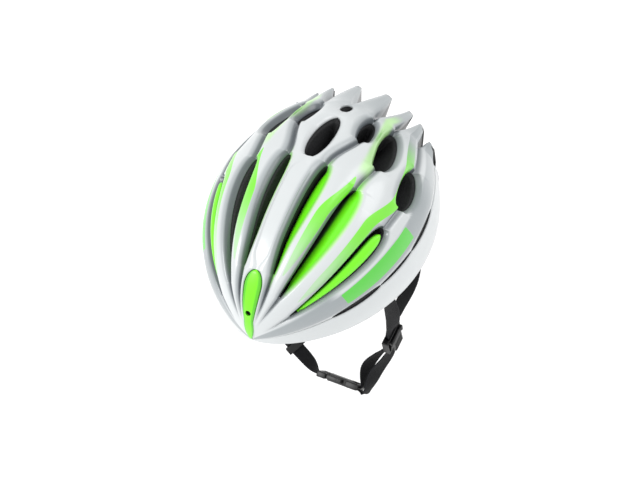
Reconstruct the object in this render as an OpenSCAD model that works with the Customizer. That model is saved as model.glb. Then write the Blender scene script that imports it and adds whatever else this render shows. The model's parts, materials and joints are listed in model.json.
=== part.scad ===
// Road cycling helmet: ribbed in-mould shell, foam liner, pads, dial-adjusted head band and webbing harness.
// Front faces -Y, the wearer's left is +X, up is +Z. The origin is the middle of the head opening.

/* [Shell] */
// Half of the shell's length, brow to rear pole
half_l = 150; // [140:1:160]
// Half of the shell's width
half_w = 110; // [104:1:114]
// Height of the crown above the base line
crown_h = 108; // [102:1:116]
// Height of the base line at the brow
brow_z = 27; // [20:1:32]
// Height of the base line at the rear pole
rear_z = -5; // [-10:1:0]
// Thickness of the hard skin
skin = 1.5; // [1.2:0.1:2.5]
// How far the edges of the vents lie below the rib tops
channel_depth = 5; // [2:0.5:7]
// Height of the brow badge above the skin
badge_lift = 1; // [0.5:0.1:2]
// Radius of the socket in the brow badge
socket_r = 2.8; // [1.5:0.1:3]

/* [Head cavity] */
// Half of the cavity's length
cavity_l = 100; // [96:1:102]
// Half of the cavity's width
cavity_w = 78; // [74:1:80]
// Height of the cavity above its base line
cavity_h = 86; // [82:1:88]
// Thickness of the comfort pads
pad_t = 6; // [4:0.5:8]

/* [Harness] */
// Width of the webbing
web_w = 15; // [12:1:16]
// Thickness of the webbing
web_t = 1.6; // [1.2:0.1:2]
// Travel of the buckle's male half
buckle_travel = 22; // [18:1:24]

/* [Head band] */
// Thickness of the flexible band
band_t = 1.6; // [1.2:0.1:2]
// Height of the flexible band
band_h = 11; // [8:1:12]
// Radius of the dial knob
dial_r = 13; // [11:0.5:14]
// Pitch radius of the pinion
pinion_r = 4; // [3.5:0.1:4.5]

/* [Hidden] */
$fn = 48;
LEFT = 1;
RIGHT = -1;

// ---- Ribs and vents, as lanes on the shell -------------------------------------------------------------
// A place on the shell is (t, f): t runs from the brow pole (0) over the crown (90) to the rear pole (180),
// and f runs from the centre line (0) down to the wearer's left (positive) or right (negative).
hair = 0.3;              // half width of a closed lane, degrees
flank = 2.5;             // width of a rib's sloped flank, degrees
rim_f = 98;              // f at the lower edge of the shell
band_f = 76;             // f where the upper shell meets the lower shell
fade_in_t = 14;          // t where the channels start
rows_t = [4, 10, 14, 20, 30, 34, 38, 42, 46, 50, 58, 66, 74, 78, 82, 84, 88, 92, 96, 100, 104, 108, 112, 116,
    120, 124, 127];
badge_t = [4, 42];       // the brow badge's span
crown_vent_t = [92, 116];
small_vent_t = [120, 127];
// Each lane: [front f, rear f, shift start t, shift end t, front vent [t0, t1, half width],
// rear vent [t0, t1, half width]]
LANE_A = [11, 19.5, 92, 112, [42, 92, 3.8], [108, 124, 4.2]];
LANE_B = [30, 35.5, 88, 108, [34, 88, 5.2], [100, 124, 6.2]];
LANE_C = [53.5, 56, 82, 100, [30, 82, 6.6], [92, 112, 6.4]];
// Fins at the rear: [t at the tip, f of its inner edge, f of its outer edge]
FINS = [[149, 13, 23], [144.5, 41, 48], [140, 53, 60], [132, 62, 69]];
fin_lift = 4.5;          // height of the fin tips above the surface that the ribs follow
// Slits between the upper and lower shell: [t0, t1, half width]
SLITS = [[44, 66, 1.8], [66, 84, 0.8], [84, 104, 1.3]];
seam = 0.4;              // half width of the closed seam between the two shells, degrees

function smooth(a, b, v) = let (u = min(max((v - a) / (b - a), 0), 1)) u * u * (3 - 2 * u);
function mix(a, b, u) = a + (b - a) * u;
// A teardrop: pointed at u = 0 and rounded at u = 1.
function teardrop(u) = u <= 0 || u >= 1 ? 0 : pow(u, 0.55) * sqrt(1 - pow(u, 5));
// A lens: the same at both ends.
function lens(u) = u <= 0 || u >= 1 ? 0 : sqrt(4 * u * (1 - u));
function span(vent, t) = (t - vent[0]) / (vent[1] - vent[0]);
function lane_half(lane, t) =
    hair + lane[4][2] * teardrop(span(lane[4], t)) + lane[5][2] * lens(span(lane[5], t));
brow_spread = 9;         // extra f of the first lane at the brow, to clear the badge
function lane_mid(lane, t) = mix(lane[0], lane[1], smooth(lane[2], lane[3], t))
    + (lane[0] == LANE_A[0] ? brow_spread * (1 - smooth(10, 60, t)) : 0);
function badge_half(t) = t > badge_t[1] ? hair
    : max(hair, (15 - 0.21 * (t - 10)) * sqrt(1 - pow(max(t - 34, 0) / 8, 2)));
rib_half = 4.5;          // half width of the centre rib's flat top
function centre_half(t) = t < 42 ? badge_half(t)
    : t < 92 ? max(hair, rib_half * smooth(42, 50, t) * (1 - smooth(84, 92, t)))
    : hair + 5.6 * lens(span(crown_vent_t, t)) + 3.4 * lens(span(small_vent_t, t));
function seam_half(t) = seam + max([for (s = SLITS) s[2] * lens(span(s, t))]);

// The columns of one half: the f of each rib edge at t, from the centre line to the rim.
function lane_cols(lane, t) = let (m = lane_mid(lane, t), h = lane_half(lane, t))
    [m - h - flank, m - h, m + h, m + h + flank];
function half_cols(t) = concat([0, centre_half(t)], lane_cols(LANE_A, t), lane_cols(LANE_B, t),
    lane_cols(LANE_C, t), [band_f - seam_half(t), band_f + seam_half(t), 88, rim_f]);
HALF = len(half_cols(90)) - 1;    // the last column's number
COL_A = 3;                        // columns COL_A and COL_A + 1 bound the vent of lane A
COL_B = 7;
COL_C = 11;
COL_BAND = HALF - 3;              // the upper shell ends here
// Columns run from -HALF to HALF.
function col_f(j, t) = let (f = half_cols(t)) j < 0 ? -f[-j] : f[j];
function is_channel(j) = let (k = abs(j))
    (k >= COL_A && k <= COL_A + 1) || (k >= COL_B && k <= COL_B + 1) || (k >= COL_C && k <= COL_C + 1);
function lift(j, t) = is_channel(j) ? -channel_depth * smooth(fade_in_t, 44, t) : 0;

// ---- Surfaces ------------------------------------------------------------------------------------------
// Powers that give the plan and the profile their slightly pointed ends.
function plan_power(t) = t < 90 ? 1.3 : 1.2;
function profile_power(t) = t < 90 ? 0.95 : 1.1;
function base_z(t) = rear_z + (brow_z - rear_z) * (0.5 + 0.5 * cos(t));
function outer(t, f, d = 0) = [
    (half_w * pow(sin(t), plan_power(t)) + d) * sin(f),
    -(half_l + d) * cos(t),
    base_z(t) + (crown_h * pow(sin(t), profile_power(t)) + d) * cos(f)
];
cavity_y = -15;          // middle of the head cavity
cavity_slope = -0.15;    // its base line falls to the rear
cavity_z = 9;            // height of its base line at its middle
// The head cavity: an ellipsoid sheared to follow the sloping rim. d moves the point inwards.
function cavity_at(ux, uy, uz, d) = let (y = cavity_y + (cavity_l - d) * uy)
    [(cavity_w - d) * ux, y, cavity_z + cavity_slope * (y - cavity_y) + (cavity_h - d) * uz];
function cavity(t, f, d = 0) = cavity_at(sin(t) * sin(f), -cos(t), sin(t) * cos(f), d);
// The same surface by bearing a round the head and height angle e.
function cavity_ring(a, e, d = 0) = cavity_at(cos(e) * sin(a), -cos(e) * cos(a), sin(e), d);
function inner_t(t) = t * (1 + 0.1 * pow(t / 127, 2));

// The rear bowl closes the shell behind the last row, from that row (s = 0) to the rim (s = 1).
last_t = rows_t[len(rows_t) - 1];
BOWL = [0.35, 0.52, 0.56, 0.8, 1];
BOWL_SPLIT = 1;          // the upper shell ends at this bowl row, and the lower shell starts at the next
rear_rim_z = -24;
rim_rise = 13;           // the rim rises this much from the back of the head to the sides
top_x = outer(last_t, rim_f)[0];
function bowl(s, f, d = 0) = let (
        top = outer(last_t, f, 0),
        rim = [top_x * sin(0.92 * f), 90 + 6 * cos(0.9 * f), rear_rim_z + rim_rise * (1 - cos(0.9 * f))],
        b = 13 * sin(180 * s) * cos(0.9 * f)
    ) mix(top, rim, s) + [d * sin(0.92 * f), b + d * cos(0.7 * f), 0];
function inner_bowl(s, f) = let (
        top = cavity(inner_t(last_t), f),
        rim = [51 * sin(0.92 * f), 60 + 14 * cos(0.9 * f), rear_rim_z + rim_rise * (1 - cos(0.9 * f))],
        b = 10 * sin(180 * s) * cos(0.9 * f)
    ) mix(top, rim, s) + [0, b, 0];

ROWS = len(rows_t) + 1 + len(BOWL);
FIN_ROW = len(rows_t);   // the row of the fin tips
function row_t(i) = rows_t[min(i, len(rows_t) - 1)];
// The fin that a column belongs to, or -1 in a valley.
function fin_of(j) = let (k = abs(j))
    k == 1 || k == 2 ? 0 : k == 5 || k == 6 ? 1 : k == 9 || k == 10 ? 2 : k == 13 || k == 14 ? 3 : -1;
function fin_edge(j) = let (k = abs(j)) k == 1 || k == 5 || k == 9 || k == 13 ? 1 : 2;
function shell_point(i, j, d) =
    i < FIN_ROW ? let (t = rows_t[i]) outer(t, col_f(j, t), lift(j, t) + d)
    : i > FIN_ROW ? bowl(BOWL[i - FIN_ROW - 1], col_f(j, last_t), lift(j, last_t) + d)
    : fin_of(j) < 0 ? bowl(0.12, col_f(j, last_t), lift(j, last_t) + d)
    : let (fin = FINS[fin_of(j)]) outer(fin[0], sign(j) * fin[fin_edge(j)], fin_lift + d);
// The vents narrow on their way in: f of column j on the cavity's wall.
vent_throat = 0.12;      // a vent's inner width as a share of its outer width
function lane_of(j) = let (k = abs(j)) k <= COL_A + 1 ? LANE_A : k <= COL_B + 1 ? LANE_B : LANE_C;
function inner_f(j, t) = is_channel(j)
    ? mix(sign(j) * lane_mid(lane_of(j), t), col_f(j, t), vent_throat)
    : abs(j) == 1 && t >= badge_t[1] ? col_f(j, t) * 2 * vent_throat
    : col_f(j, t);
function liner_point(i, j) =
    i < FIN_ROW ? let (t = rows_t[i]) cavity(inner_t(t), inner_f(j, t))
    : inner_bowl(i == FIN_ROW ? 0.12 : BOWL[i - FIN_ROW - 1], col_f(j, last_t));

// ---- Which cells are open --------------------------------------------------------------------------------
// A cell (i, j) lies between rows i and i + 1 and between columns j and j + 1.
function cell_k(j) = j < 0 ? -j - 1 : j;    // its number counted from the centre line, on either side
function in_span(i, vent) = i < FIN_ROW - 1 && row_t(i) >= vent[0] && row_t(i + 1) <= vent[1];
function lane_open(i, lane) = in_span(i, lane[4]) || in_span(i, lane[5]);
function port_open(i) = i == FIN_ROW + 3;   // the exhaust ports, low in the rear bowl
function vent_open(i, j) = let (k = cell_k(j))
    k == 0 ? in_span(i, crown_vent_t) || in_span(i, small_vent_t)
    : k == COL_A ? lane_open(i, LANE_A)
    : k == COL_B ? lane_open(i, LANE_B)
    : k == COL_C ? lane_open(i, LANE_C)
    : k == 5 ? port_open(i)
    : k == 9 ? port_open(i)
    : false;
function is_badge(i, j) = cell_k(j) == 0 && in_span(i, badge_t);
function bowl_row(i) = i - FIN_ROW - 1;
function upper_cell(i, j) = cell_k(j) < COL_BAND && bowl_row(i) < BOWL_SPLIT && !vent_open(i, j)
    && !is_badge(i, j);
function lower_cell(i, j) = !vent_open(i, j)
    && (cell_k(j) > COL_BAND || bowl_row(i) > BOWL_SPLIT);
function liner_cell(i, j) = !vent_open(i, j);

// ---- Solids from grids -----------------------------------------------------------------------------------
// A closed solid between two grids of points, top and under, both [rows][columns]. keep[i][j] says which
// cells are filled, and every open edge gets a wall.
module grid_solid(top, under, keep) {
    rows = len(top);
    cols = len(top[0]);
    function id(i, j) = i * cols + j;
    function low(i, j) = rows * cols + id(i, j);
    function kept(i, j) = i >= 0 && j >= 0 && i < rows - 1 && j < cols - 1 && keep[i][j];
    // The grid's handedness says which way round its faces run.
    right_handed = cross(top[1][0] - top[0][0], top[0][1] - top[0][0]) * (top[0][0] - under[0][0]) < 0;
    function wall(a, b, c, d) = right_handed ? [[a, c, b], [a, d, c]] : [[a, b, c], [a, c, d]];
    points = concat([for (r = top) each r], [for (r = under) each r]);
    faces = [for (i = [0:rows - 2], j = [0:cols - 2]) if (kept(i, j)) each concat(
        wall(id(i, j), id(i, j + 1), id(i + 1, j + 1), id(i + 1, j)),
        wall(low(i, j), low(i + 1, j), low(i + 1, j + 1), low(i, j + 1)),
        kept(i - 1, j) ? [] : wall(id(i, j), low(i, j), low(i, j + 1), id(i, j + 1)),
        kept(i + 1, j) ? [] : wall(id(i + 1, j), id(i + 1, j + 1), low(i + 1, j + 1), low(i + 1, j)),
        kept(i, j - 1) ? [] : wall(id(i, j), id(i + 1, j), low(i + 1, j), low(i, j)),
        kept(i, j + 1) ? [] : wall(id(i, j + 1), low(i, j + 1), low(i + 1, j + 1), id(i + 1, j + 1))
    )];
    polyhedron(points = points, faces = faces, convexity = 10);
}
function all_kept(rows, cols) = [for (i = [0:rows - 2]) [for (j = [0:cols - 2]) true]];

// A patch of the cavity's wall from depth d0 to depth d1, by place(u, v, d) on a grid of u and v.
module cavity_pad(us, vs, d0, d1, ring = false) {
    function at(u, v, d) = ring ? cavity_ring(u, v, d) : cavity(u, v, d);
    top = [for (u = us) [for (v = vs) at(u, v, d0)]];
    under = [for (u = us) [for (v = vs) at(u, v, d1)]];
    grid_solid(top, under, all_kept(len(top), len(top[0])));
}

// A flat ribbon through points, each [centre, width direction].
function unit(v) = v / norm(v);
module ribbon(stations, width, thick) {
    n = len(stations);
    function mid(i) = stations[i][0];
    function along(i) = unit(mid(min(i + 1, n - 1)) - mid(max(i - 1, 0)));
    function across(i) = let (w = stations[i][1]) unit(w - along(i) * (w * along(i)));
    function face(i) = cross(along(i), across(i));
    function side(i, a, b) = mid(i) + across(i) * a * width / 2 + face(i) * b * thick / 2;
    grid_solid([for (i = [0:n - 1]) [side(i, -1, 1), side(i, 1, 1)]],
        [for (i = [0:n - 1]) [side(i, -1, -1), side(i, 1, -1)]], all_kept(n, 2));
}
module on_side(side) {
    if (side == LEFT) children();
    else mirror([1, 0, 0]) children();
}

// ---- Shell, liner and what sits in them --------------------------------------------------------------
module shell_part(kind, d_top, d_under) {
    js = [-HALF:HALF];
    grid_solid(
        [for (i = [0:ROWS - 1]) [for (j = js) shell_point(i, j, d_top)]],
        [for (i = [0:ROWS - 1]) [for (j = js) shell_point(i, j, d_under)]],
        [for (i = [0:ROWS - 2]) [for (j = [-HALF:HALF - 1])
            kind == "upper" ? upper_cell(i, j) : kind == "lower" ? lower_cell(i, j) : is_badge(i, j)]]);
}
module upper_shell() {
    color("white") shell_part("upper", 0, -skin);
}
module lower_shell() {
    color("whitesmoke") shell_part("lower", 0, -skin);
}
module eps_liner() {
    color("#1c1c1c") grid_solid(
        [for (i = [0:ROWS - 1]) [for (j = [-HALF:HALF]) shell_point(i, j, -skin)]],
        [for (i = [0:ROWS - 1]) [for (j = [-HALF:HALF]) liner_point(i, j)]],
        [for (i = [0:ROWS - 2]) [for (j = [-HALF:HALF - 1]) liner_cell(i, j)]]);
}
badge_under = -1;        // depth of the badge's underside, clear of the liner
socket_t = 20;
socket_at = outer(socket_t, 0);
socket_tilt = 62;        // how far the badge leans back at the socket, degrees from level
module brow_badge() {
    color("lawngreen") difference() {
        shell_part("badge", badge_lift, badge_under);
        translate(socket_at) rotate([socket_tilt, 0, 0]) cylinder(r = socket_r, h = 12, center = true);
    }
}
// A teardrop panel that stands in the third front vent, on a ledge between the vent's walls.
inlay_rows = [for (t = rows_t) if (t >= LANE_C[4][0] + 4 && t <= LANE_C[4][1] - 4) t];
ledge = [0.3, 0.42];    // the ledge's top and underside, as a share of the way into the liner
inlay_clear = 0.03;      // clearance to the vent's walls, as a share of the vent's width
inlay_gap = 0.14;        // the gap beside the raised panel, as a share of the vent's width
inlay_edge = 0.17;       // where the panel's top begins, as the same share
inlay_crown = -2;        // height of the panel's middle against the rib tops
inlay_side = -3.5;       // height of the panel's edges
// A point across vent C: w runs from its upper wall (0) to its lower wall (1), u from the skin inwards.
function across_vent(t, w, u) = let (
        m = lane_mid(LANE_C, t),
        h = lane_half(LANE_C, t) * (2 * w - 1),
        skin_point = outer(t, m + h, lift(COL_C, t) - skin)
    ) mix(skin_point, cavity(inner_t(t), m + h * vent_throat), u);
function panel_point(t, w, d) = outer(t, lane_mid(LANE_C, t) + lane_half(LANE_C, t) * (2 * w - 1), d);
function inlay_top(t) = [across_vent(t, inlay_clear, ledge[0]), across_vent(t, inlay_gap, ledge[0]),
    panel_point(t, inlay_edge, inlay_side), panel_point(t, 0.5, inlay_crown),
    panel_point(t, 1 - inlay_edge, inlay_side), across_vent(t, 1 - inlay_gap, ledge[0]),
    across_vent(t, 1 - inlay_clear, ledge[0])];
inlay_ws = [inlay_clear, inlay_gap, inlay_edge, 0.5, 1 - inlay_edge, 1 - inlay_gap, 1 - inlay_clear];
function inlay_under(t) = [for (w = inlay_ws) across_vent(t, w, ledge[1])];
module vent_inlay(side) {
    color("lawngreen") on_side(side) grid_solid([for (t = inlay_rows) inlay_top(t)],
        [for (t = inlay_rows) inlay_under(t)], all_kept(len(inlay_rows), len(inlay_ws)));
}

// ---- Pads ------------------------------------------------------------------------------------------------
pad_gap = 1.1;           // room for the hook discs behind the pads
module brow_pad() {
    color("dimgray") cavity_pad([-52:8:52], [6, 14, 22], pad_gap, pad_t, ring = true);
}
module crown_pad(side) {
    color("dimgray") on_side(side) cavity_pad([58:8:122], [11, 16, 21], pad_gap, pad_t);
}
module side_pad(side) {
    color("dimgray") on_side(side) cavity_pad([58:8:114], [38, 43, 48], pad_gap, pad_t);
}

// ---- Head band and cradle --------------------------------------------------------------------------------
cradle_y = 66;
cradle_z = -44;
housing = [54, 9, 26];
bearing_r = 3.2;
bearing_gap = 0.05;
channel = [60, 3.4, 14];  // the racks' way through the housing
rack_len = 40;
rack_h = 2.6;
rack_t = 2.2;
module rounded_box(size, r) {
    hull() for (x = [-1, 1], z = [-1, 1])
        translate([x * (size[0] / 2 - r), 0, z * (size[2] / 2 - r)])
            rotate([90, 0, 0]) cylinder(r = r, h = size[1], center = true, $fn = 32);
}
module cradle_housing() {
    color("#2b2b2b") translate([0, cradle_y, cradle_z]) difference() {
        translate([0, -housing[1] / 4, 0]) cube([housing[0], housing[1] / 2, housing[2]], center = true);
        cube(channel, center = true);
        rotate([90, 0, 0]) cylinder(r = bearing_r / 2 + bearing_gap, h = 20, center = true);
        for (x = [-1, 1]) translate([x * screw_x, 0, 0]) rotate([90, 0, 0])
            cylinder(r = screw_hole_r, h = 20, center = true);
    }
}
screw_x = 22;
screw_hole_r = 1.25;
screw_r = 1.2;
screw_head_r = 2.4;
module cradle_cover() {
    color("#242424") translate([0, cradle_y, cradle_z]) difference() {
        translate([0, housing[1] / 4, 0]) cube([housing[0], housing[1] / 2, housing[2]], center = true);
        cube(channel, center = true);
        rotate([90, 0, 0]) cylinder(r = bearing_r + bearing_gap, h = 20, center = true);
        for (x = [-1, 1]) translate([x * screw_x, 0, 0]) rotate([90, 0, 0])
            cylinder(r = screw_hole_r, h = 20, center = true);
    }
}

// The head band's route from a rack's end to the temple, each [middle, width direction].
ROUTE = [for (p = [[33, 66, -38.6], [44, 63.5, -38.4], [55, 56, -37], [64, 43, -33], [70, 25, -28],
    [72.5, 5, -21], [72.5, -16, -13], [70.5, -34, -5], [67.5, -48, 2]]) [p, [0, 0, 1]]];
module band_arm(side) {
    // The right arm's first stations follow the lower rack.
    function below(p) = p[0][0] < 50 ? [[p[0][0], p[0][1], 2 * cradle_z - p[0][2]], p[1]] : p;
    color("#303030") on_side(side) ribbon([for (p = ROUTE) side == LEFT ? p : below(p)], band_h, band_t);
}
rack_gap = 0.3;
rack_z = pinion_r + rack_gap / 2;
rack_reach = 32;         // x of the rack's outer end
module rack(side) {
    color("#3a3a3a") translate([0, cradle_y, cradle_z]) on_side(side) {
        translate([rack_reach - rack_len, -rack_t / 2, side == LEFT ? rack_z : -rack_z - rack_h])
            cube([rack_len, rack_t, rack_h]);
    }
}
module cradle_screws() {
    color("silver") for (x = [-1, 1]) translate([x * screw_x, cradle_y, cradle_z]) rotate([-90, 0, 0]) {
        translate([0, 0, -housing[1] / 2 + 0.5]) cylinder(r = screw_r, h = housing[1] - 0.5);
        translate([0, 0, housing[1] / 2]) cylinder(r = screw_head_r, h = 1.4);
    }
}
knob_gap = 1.5;
knob_h = 9;
flutes = 16;
module dial_knob() {
    color("#1f1f1f") translate([0, cradle_y + housing[1] / 2 + knob_gap, cradle_z]) rotate([-90, 0, 0])
        difference() {
            union() {
                cylinder(r = dial_r, h = knob_h - 2);
                translate([0, 0, knob_h - 2]) cylinder(r1 = dial_r, r2 = dial_r - 2, h = 2);
            }
            translate([0, 0, -1]) cylinder(r = bearing_r, h = knob_h - 1);
            for (n = [0:flutes - 1]) rotate([0, 0, n * 360 / flutes])
                translate([dial_r + 0.6, 0, -1]) cylinder(r = 1.4, h = knob_h + 2);
        }
}
module pinion_shaft() {
    color("gray") translate([0, cradle_y, cradle_z]) rotate([-90, 0, 0]) {
        translate([0, 0, -1.3]) cylinder(r = pinion_r - 0.2, h = 2.6);
        translate([0, 0, -housing[1] / 2]) cylinder(r = bearing_r / 2, h = housing[1] / 2);
        cylinder(r = bearing_r, h = housing[1] / 2 + knob_gap + knob_h - 2);
    }
}
module detent_spring() {
    color("lightgray") translate([0, cradle_y + housing[1] / 2 + 0.75, cradle_z]) rotate([90, 0, 0])
        rotate_extrude(angle = 240) translate([9, 0]) square([1.2, 1], center = true);
}
// A strip from the housing up the back of the cavity.
hanger = [[0, 66.4, -30.4], [0, 71, -14], [0, 73.5, 4]];
module cradle_hanger() {
    color("#2f2f2f") ribbon([for (p = hanger) [p, [1, 0, 0]]], 14, 2);
}
module occipital_pads() {
    color("dimgray") for (x = [-1, 1]) translate([x * 16, cradle_y - housing[1] / 2 - 2.3, cradle_z])
        rounded_box([18, 4, 20], 4);
}
module headband_front() {
    color("#303030") cavity_pad([-66:6:66], [7, 14], pad_t + 0.3, pad_t + 0.3 + band_t, ring = true);
}
temple_at = [70.2, -51, 3.5];
module temple_anchor(side) {
    color("#262626") on_side(side) translate(temple_at) rotate([0, 90, -14])
        cylinder(r = 5.5, h = 2.2, center = true);
}

// ---- Harness -----------------------------------------------------------------------------------------------
front_exit = [88, -47, 0.8];   // middle of each anchor, just under the liner
rear_exit = [78, 42, -10.3];
divider_at = [75, -37, -120];
down = [0, 1, 0];        // the webbing's width runs fore and aft beside the ear
anchor_r = 8.5;
anchor_t = 1.6;
module strap_anchor(at, tilt) {
    for (side = [LEFT, RIGHT]) on_side(side) translate(at) rotate([tilt, 0, 0])
        cylinder(r = anchor_r, h = anchor_t, center = true);
}
module strap_anchors_front() {
    color("#333333") strap_anchor(front_exit, -8.7);
}
module strap_anchors_rear() {
    color("#333333") strap_anchor(rear_exit, -3.2);
}
divider = [7, 30, 20];   // its thickness, width and height
strap_layer = 1.4;       // how far each strap lies from the divider's middle plane
front_start = [0, 0, -3.1];     // from the anchor to where the webbing begins
rear_start = [1.5, -3.5, -5.3];
module front_webbing(side) {
    color("#151515") on_side(side) ribbon([
        [front_exit + front_start, down],
        [[88, -45, -25], [0.3, 0.95, 0]],
        [[86, -42, -60], [0.7, 0.7, 0]],
        [[81, -40, -90], [0.5, 0.87, 0]],
        [divider_at + [strap_layer, -1, 12], down],
        [divider_at + [strap_layer, -1, -13], down]
    ], web_w, web_t);
}
module rear_webbing(side) {
    color("#151515") on_side(side) ribbon([
        [rear_exit + rear_start, down],
        [[84, 27, -34], [0.4, 0.9, 0]],
        [[86, 3, -62], [0.75, 0.65, -0.1]],
        [[78, -21, -90], [0.5, 0.85, 0.1]],
        [divider_at + [-strap_layer, 1, 15], down],
        [divider_at + [-strap_layer, 1, -13], down]
    ], web_w, web_t);
}
hinge_r = 1.5;
hinge_gap = 0.05;
ear = 3;                 // thickness of the ears that hold the cam's pin
cam_w = 18;
module divider_body(side) {
    color("#1a1a1a") on_side(side) translate(divider_at) difference() {
        union() {
            cube(divider, center = true);
            for (y = [-1, 1]) translate([divider[0] / 2 + 2, y * (cam_w / 2 + ear / 2 + 0.4), 6])
                cube([5, ear, 8], center = true);
        }
        cube([2 * strap_layer + web_t + 0.6, web_w + 3, divider[2] + 2], center = true);
        translate([divider[0] / 2 + 2, 0, 6]) rotate([90, 0, 0])
            cylinder(r = hinge_r, h = divider[1] + 2, center = true);
    }
}
module cam_lever(side) {
    color("#202020") on_side(side) translate(divider_at + [divider[0] / 2 + 2, 0, 6]) difference() {
        union() {
            rotate([90, 0, 0]) cylinder(r = 1.9, h = cam_w, center = true);
            translate([-0.6, -cam_w / 2, -17]) cube([2.4, cam_w, 17]);
        }
        rotate([90, 0, 0]) cylinder(r = hinge_r + hinge_gap, h = cam_w + 2, center = true);
    }
}
module cam_pins() {
    color("silver") for (side = [LEFT, RIGHT]) on_side(side)
        translate(divider_at + [divider[0] / 2 + 2, 0, 6]) rotate([90, 0, 0])
            cylinder(r = hinge_r, h = cam_w + 2 * ear + 0.8, center = true);
}
// The buckle's own frame: x along the strap, y across it, z through it.
buckle_at = [21, -70, -200];
buckle_roll = -63;
module at_buckle() {
    translate(buckle_at) rotate([buckle_roll, 0, 0]) children();
}
function at_roll(p) = buckle_at + [p[0], p[1] * cos(buckle_roll) - p[2] * sin(buckle_roll),
    p[1] * sin(buckle_roll) + p[2] * cos(buckle_roll)];
roll_w = [0, cos(buckle_roll), sin(buckle_roll)];   // the webbing's width direction at the buckle
function outboard(side, x) = [side * (divider_at[0] + x), divider_at[1] - 1, divider_at[2] - 16];
module chin_webbing_left() {
    color("#151515") ribbon([
        [outboard(LEFT, strap_layer), down],
        [[71, -46, -150], [0.6, 0.8, 0]],
        [[59, -57, -176], [0.75, 0.6, -0.2]],
        [at_roll([29.5, 0, -2.8]), roll_w]
    ], web_w, web_t);
}
module chin_loop_left() {
    color("#151515") ribbon([
        [outboard(LEFT, -strap_layer), down],
        [[61, -43, -152], [0.6, 0.8, 0]],
        [[48, -53, -175], [0.75, 0.6, -0.2]],
        [at_roll([24.6, 0, 2.8]), roll_w]
    ], web_w, web_t);
}
module chin_webbing_right() {
    color("#151515") ribbon([
        [outboard(RIGHT, strap_layer), -down],
        [[-66, -46, -154], [-0.45, -0.85, -0.1]],
        [[-44, -55, -176], [-0.45, -0.85, -0.2]],
        [[-20, -64, -192], [-0.3, -0.9, 0.2]],
        [at_roll([-27.9, 0, 0]), -roll_w]
    ], web_w, web_t);
}
module chin_loop_right() {
    color("#151515") ribbon([
        [outboard(RIGHT, -strap_layer), -down],
        [[-63.4, -47.4, -150], [-0.45, -0.85, -0.1]],
        [[-42, -56.4, -172.2], [-0.45, -0.85, -0.2]]
    ], web_w, web_t);
}
buckle = [24, 24, 8];    // the female body's length, width and thickness
slot_w = 17;
nose_w = 13;             // width of the female body between the latch arms
wall = 1.5;
module buckle_female() {
    color("#171717") at_buckle() difference() {
        union() {
            translate([-buckle[0] / 2 + 10, 0, 0]) cube([buckle[0], nose_w, buckle[2]], center = true);
            translate([16, 0, 0]) cube([14, buckle[1], buckle[2] - 1], center = true);
        }
        translate([-11, 0, 0]) cube([42, nose_w - 2 * wall, buckle[2] - 2 * wall], center = true);
        translate([18, 0, 0]) cube([3.4, slot_w, buckle[2] + 2], center = true);
    }
}
module buckle_male() {
    color("#1b1b1b") at_buckle() difference() {
        union() {
            translate([-20.3, 0, 0]) cube([10.4, buckle[1], buckle[2] - 1], center = true);
            translate([-6, 0, 0]) cube([22, 4, 3], center = true);
        }
        translate([-20, 0, 0]) cube([3.4, slot_w, buckle[2] + 2], center = true);
    }
}
latch_len = 18;
module latch_arm(end) {
    color("#1b1b1b") at_buckle() translate([-14, end * 9.6, 0]) {
        cylinder(r = 1, h = 5, center = true);
        translate([0, end * 0.2 - 1.1, -2.5]) cube([latch_len, 2.2, 5]);
    }
}
// The keeper and the free tail lie against the chin webbing's underside.
tail_run = [24, -9, -16];                 // direction of the webbing there
tail_w = [-0.45, -0.85, -0.2];
tail_gap = 3.3;
tail_n = unit(cross(tail_run, tail_w)) * (cross(tail_run, tail_w)[2] < 0 ? 1 : -1);
tail = [for (p = [[-28, -61, -186.7], [-44, -55, -176], [-55, -50.5, -165]]) [p + tail_n * tail_gap, tail_w]];
keeper_len = 8;
keeper_h = 10.6;
keeper_wall = 1.2;
module strap_keeper() {
    x = unit(tail_run);
    y = unit(cross(tail_n, x));
    c = [-36.8, -57.7, -180.8] + tail_n * tail_gap / 2;
    color("#222222")
        multmatrix([for (k = [0:2]) [x[k], y[k], tail_n[k], c[k]]]) difference() {
            cube([keeper_len, web_w + 6, keeper_h], center = true);
            cube([keeper_len + 2, web_w + 6 - 2 * keeper_wall, keeper_h - 2 * keeper_wall], center = true);
        }
}
module strap_end_tail() {
    color("#151515") ribbon(tail, web_w - 2, web_t);
}
module strap_end_cap() {
    ends = [[-56.4, -49.9, -163.6], [-61, -48, -159]];
    color("#222222") ribbon([for (p = ends) [p + tail_n * tail_gap, tail_w]], web_w - 1, 2.6);
}

upper_shell();
lower_shell();
eps_liner();
brow_badge();
vent_inlay(LEFT);  // vent_inlay_left
vent_inlay(RIGHT);  // vent_inlay_right
brow_pad();
crown_pad(LEFT);  // crown_pad_left
crown_pad(RIGHT);  // crown_pad_right
side_pad(LEFT);  // side_pad_left
side_pad(RIGHT);  // side_pad_right
headband_front();
temple_anchor(LEFT);  // temple_anchor_left
temple_anchor(RIGHT);  // temple_anchor_right
band_arm(LEFT);  // band_arm_left
band_arm(RIGHT);  // band_arm_right
rack(LEFT);  // rack_left
rack(RIGHT);  // rack_right
cradle_housing();
cradle_cover();
cradle_screws();
cradle_hanger();
occipital_pads();
dial_knob();
pinion_shaft();
detent_spring();
strap_anchors_front();
strap_anchors_rear();
front_webbing(LEFT);  // front_webbing_left
front_webbing(RIGHT);  // front_webbing_right
rear_webbing(LEFT);  // rear_webbing_left
rear_webbing(RIGHT);  // rear_webbing_right
divider_body(LEFT);  // divider_left
divider_body(RIGHT);  // divider_right
cam_lever(LEFT);  // cam_lever_left
cam_lever(RIGHT);  // cam_lever_right
cam_pins();
chin_webbing_left();
chin_webbing_right();
chin_loop_left();
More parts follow.
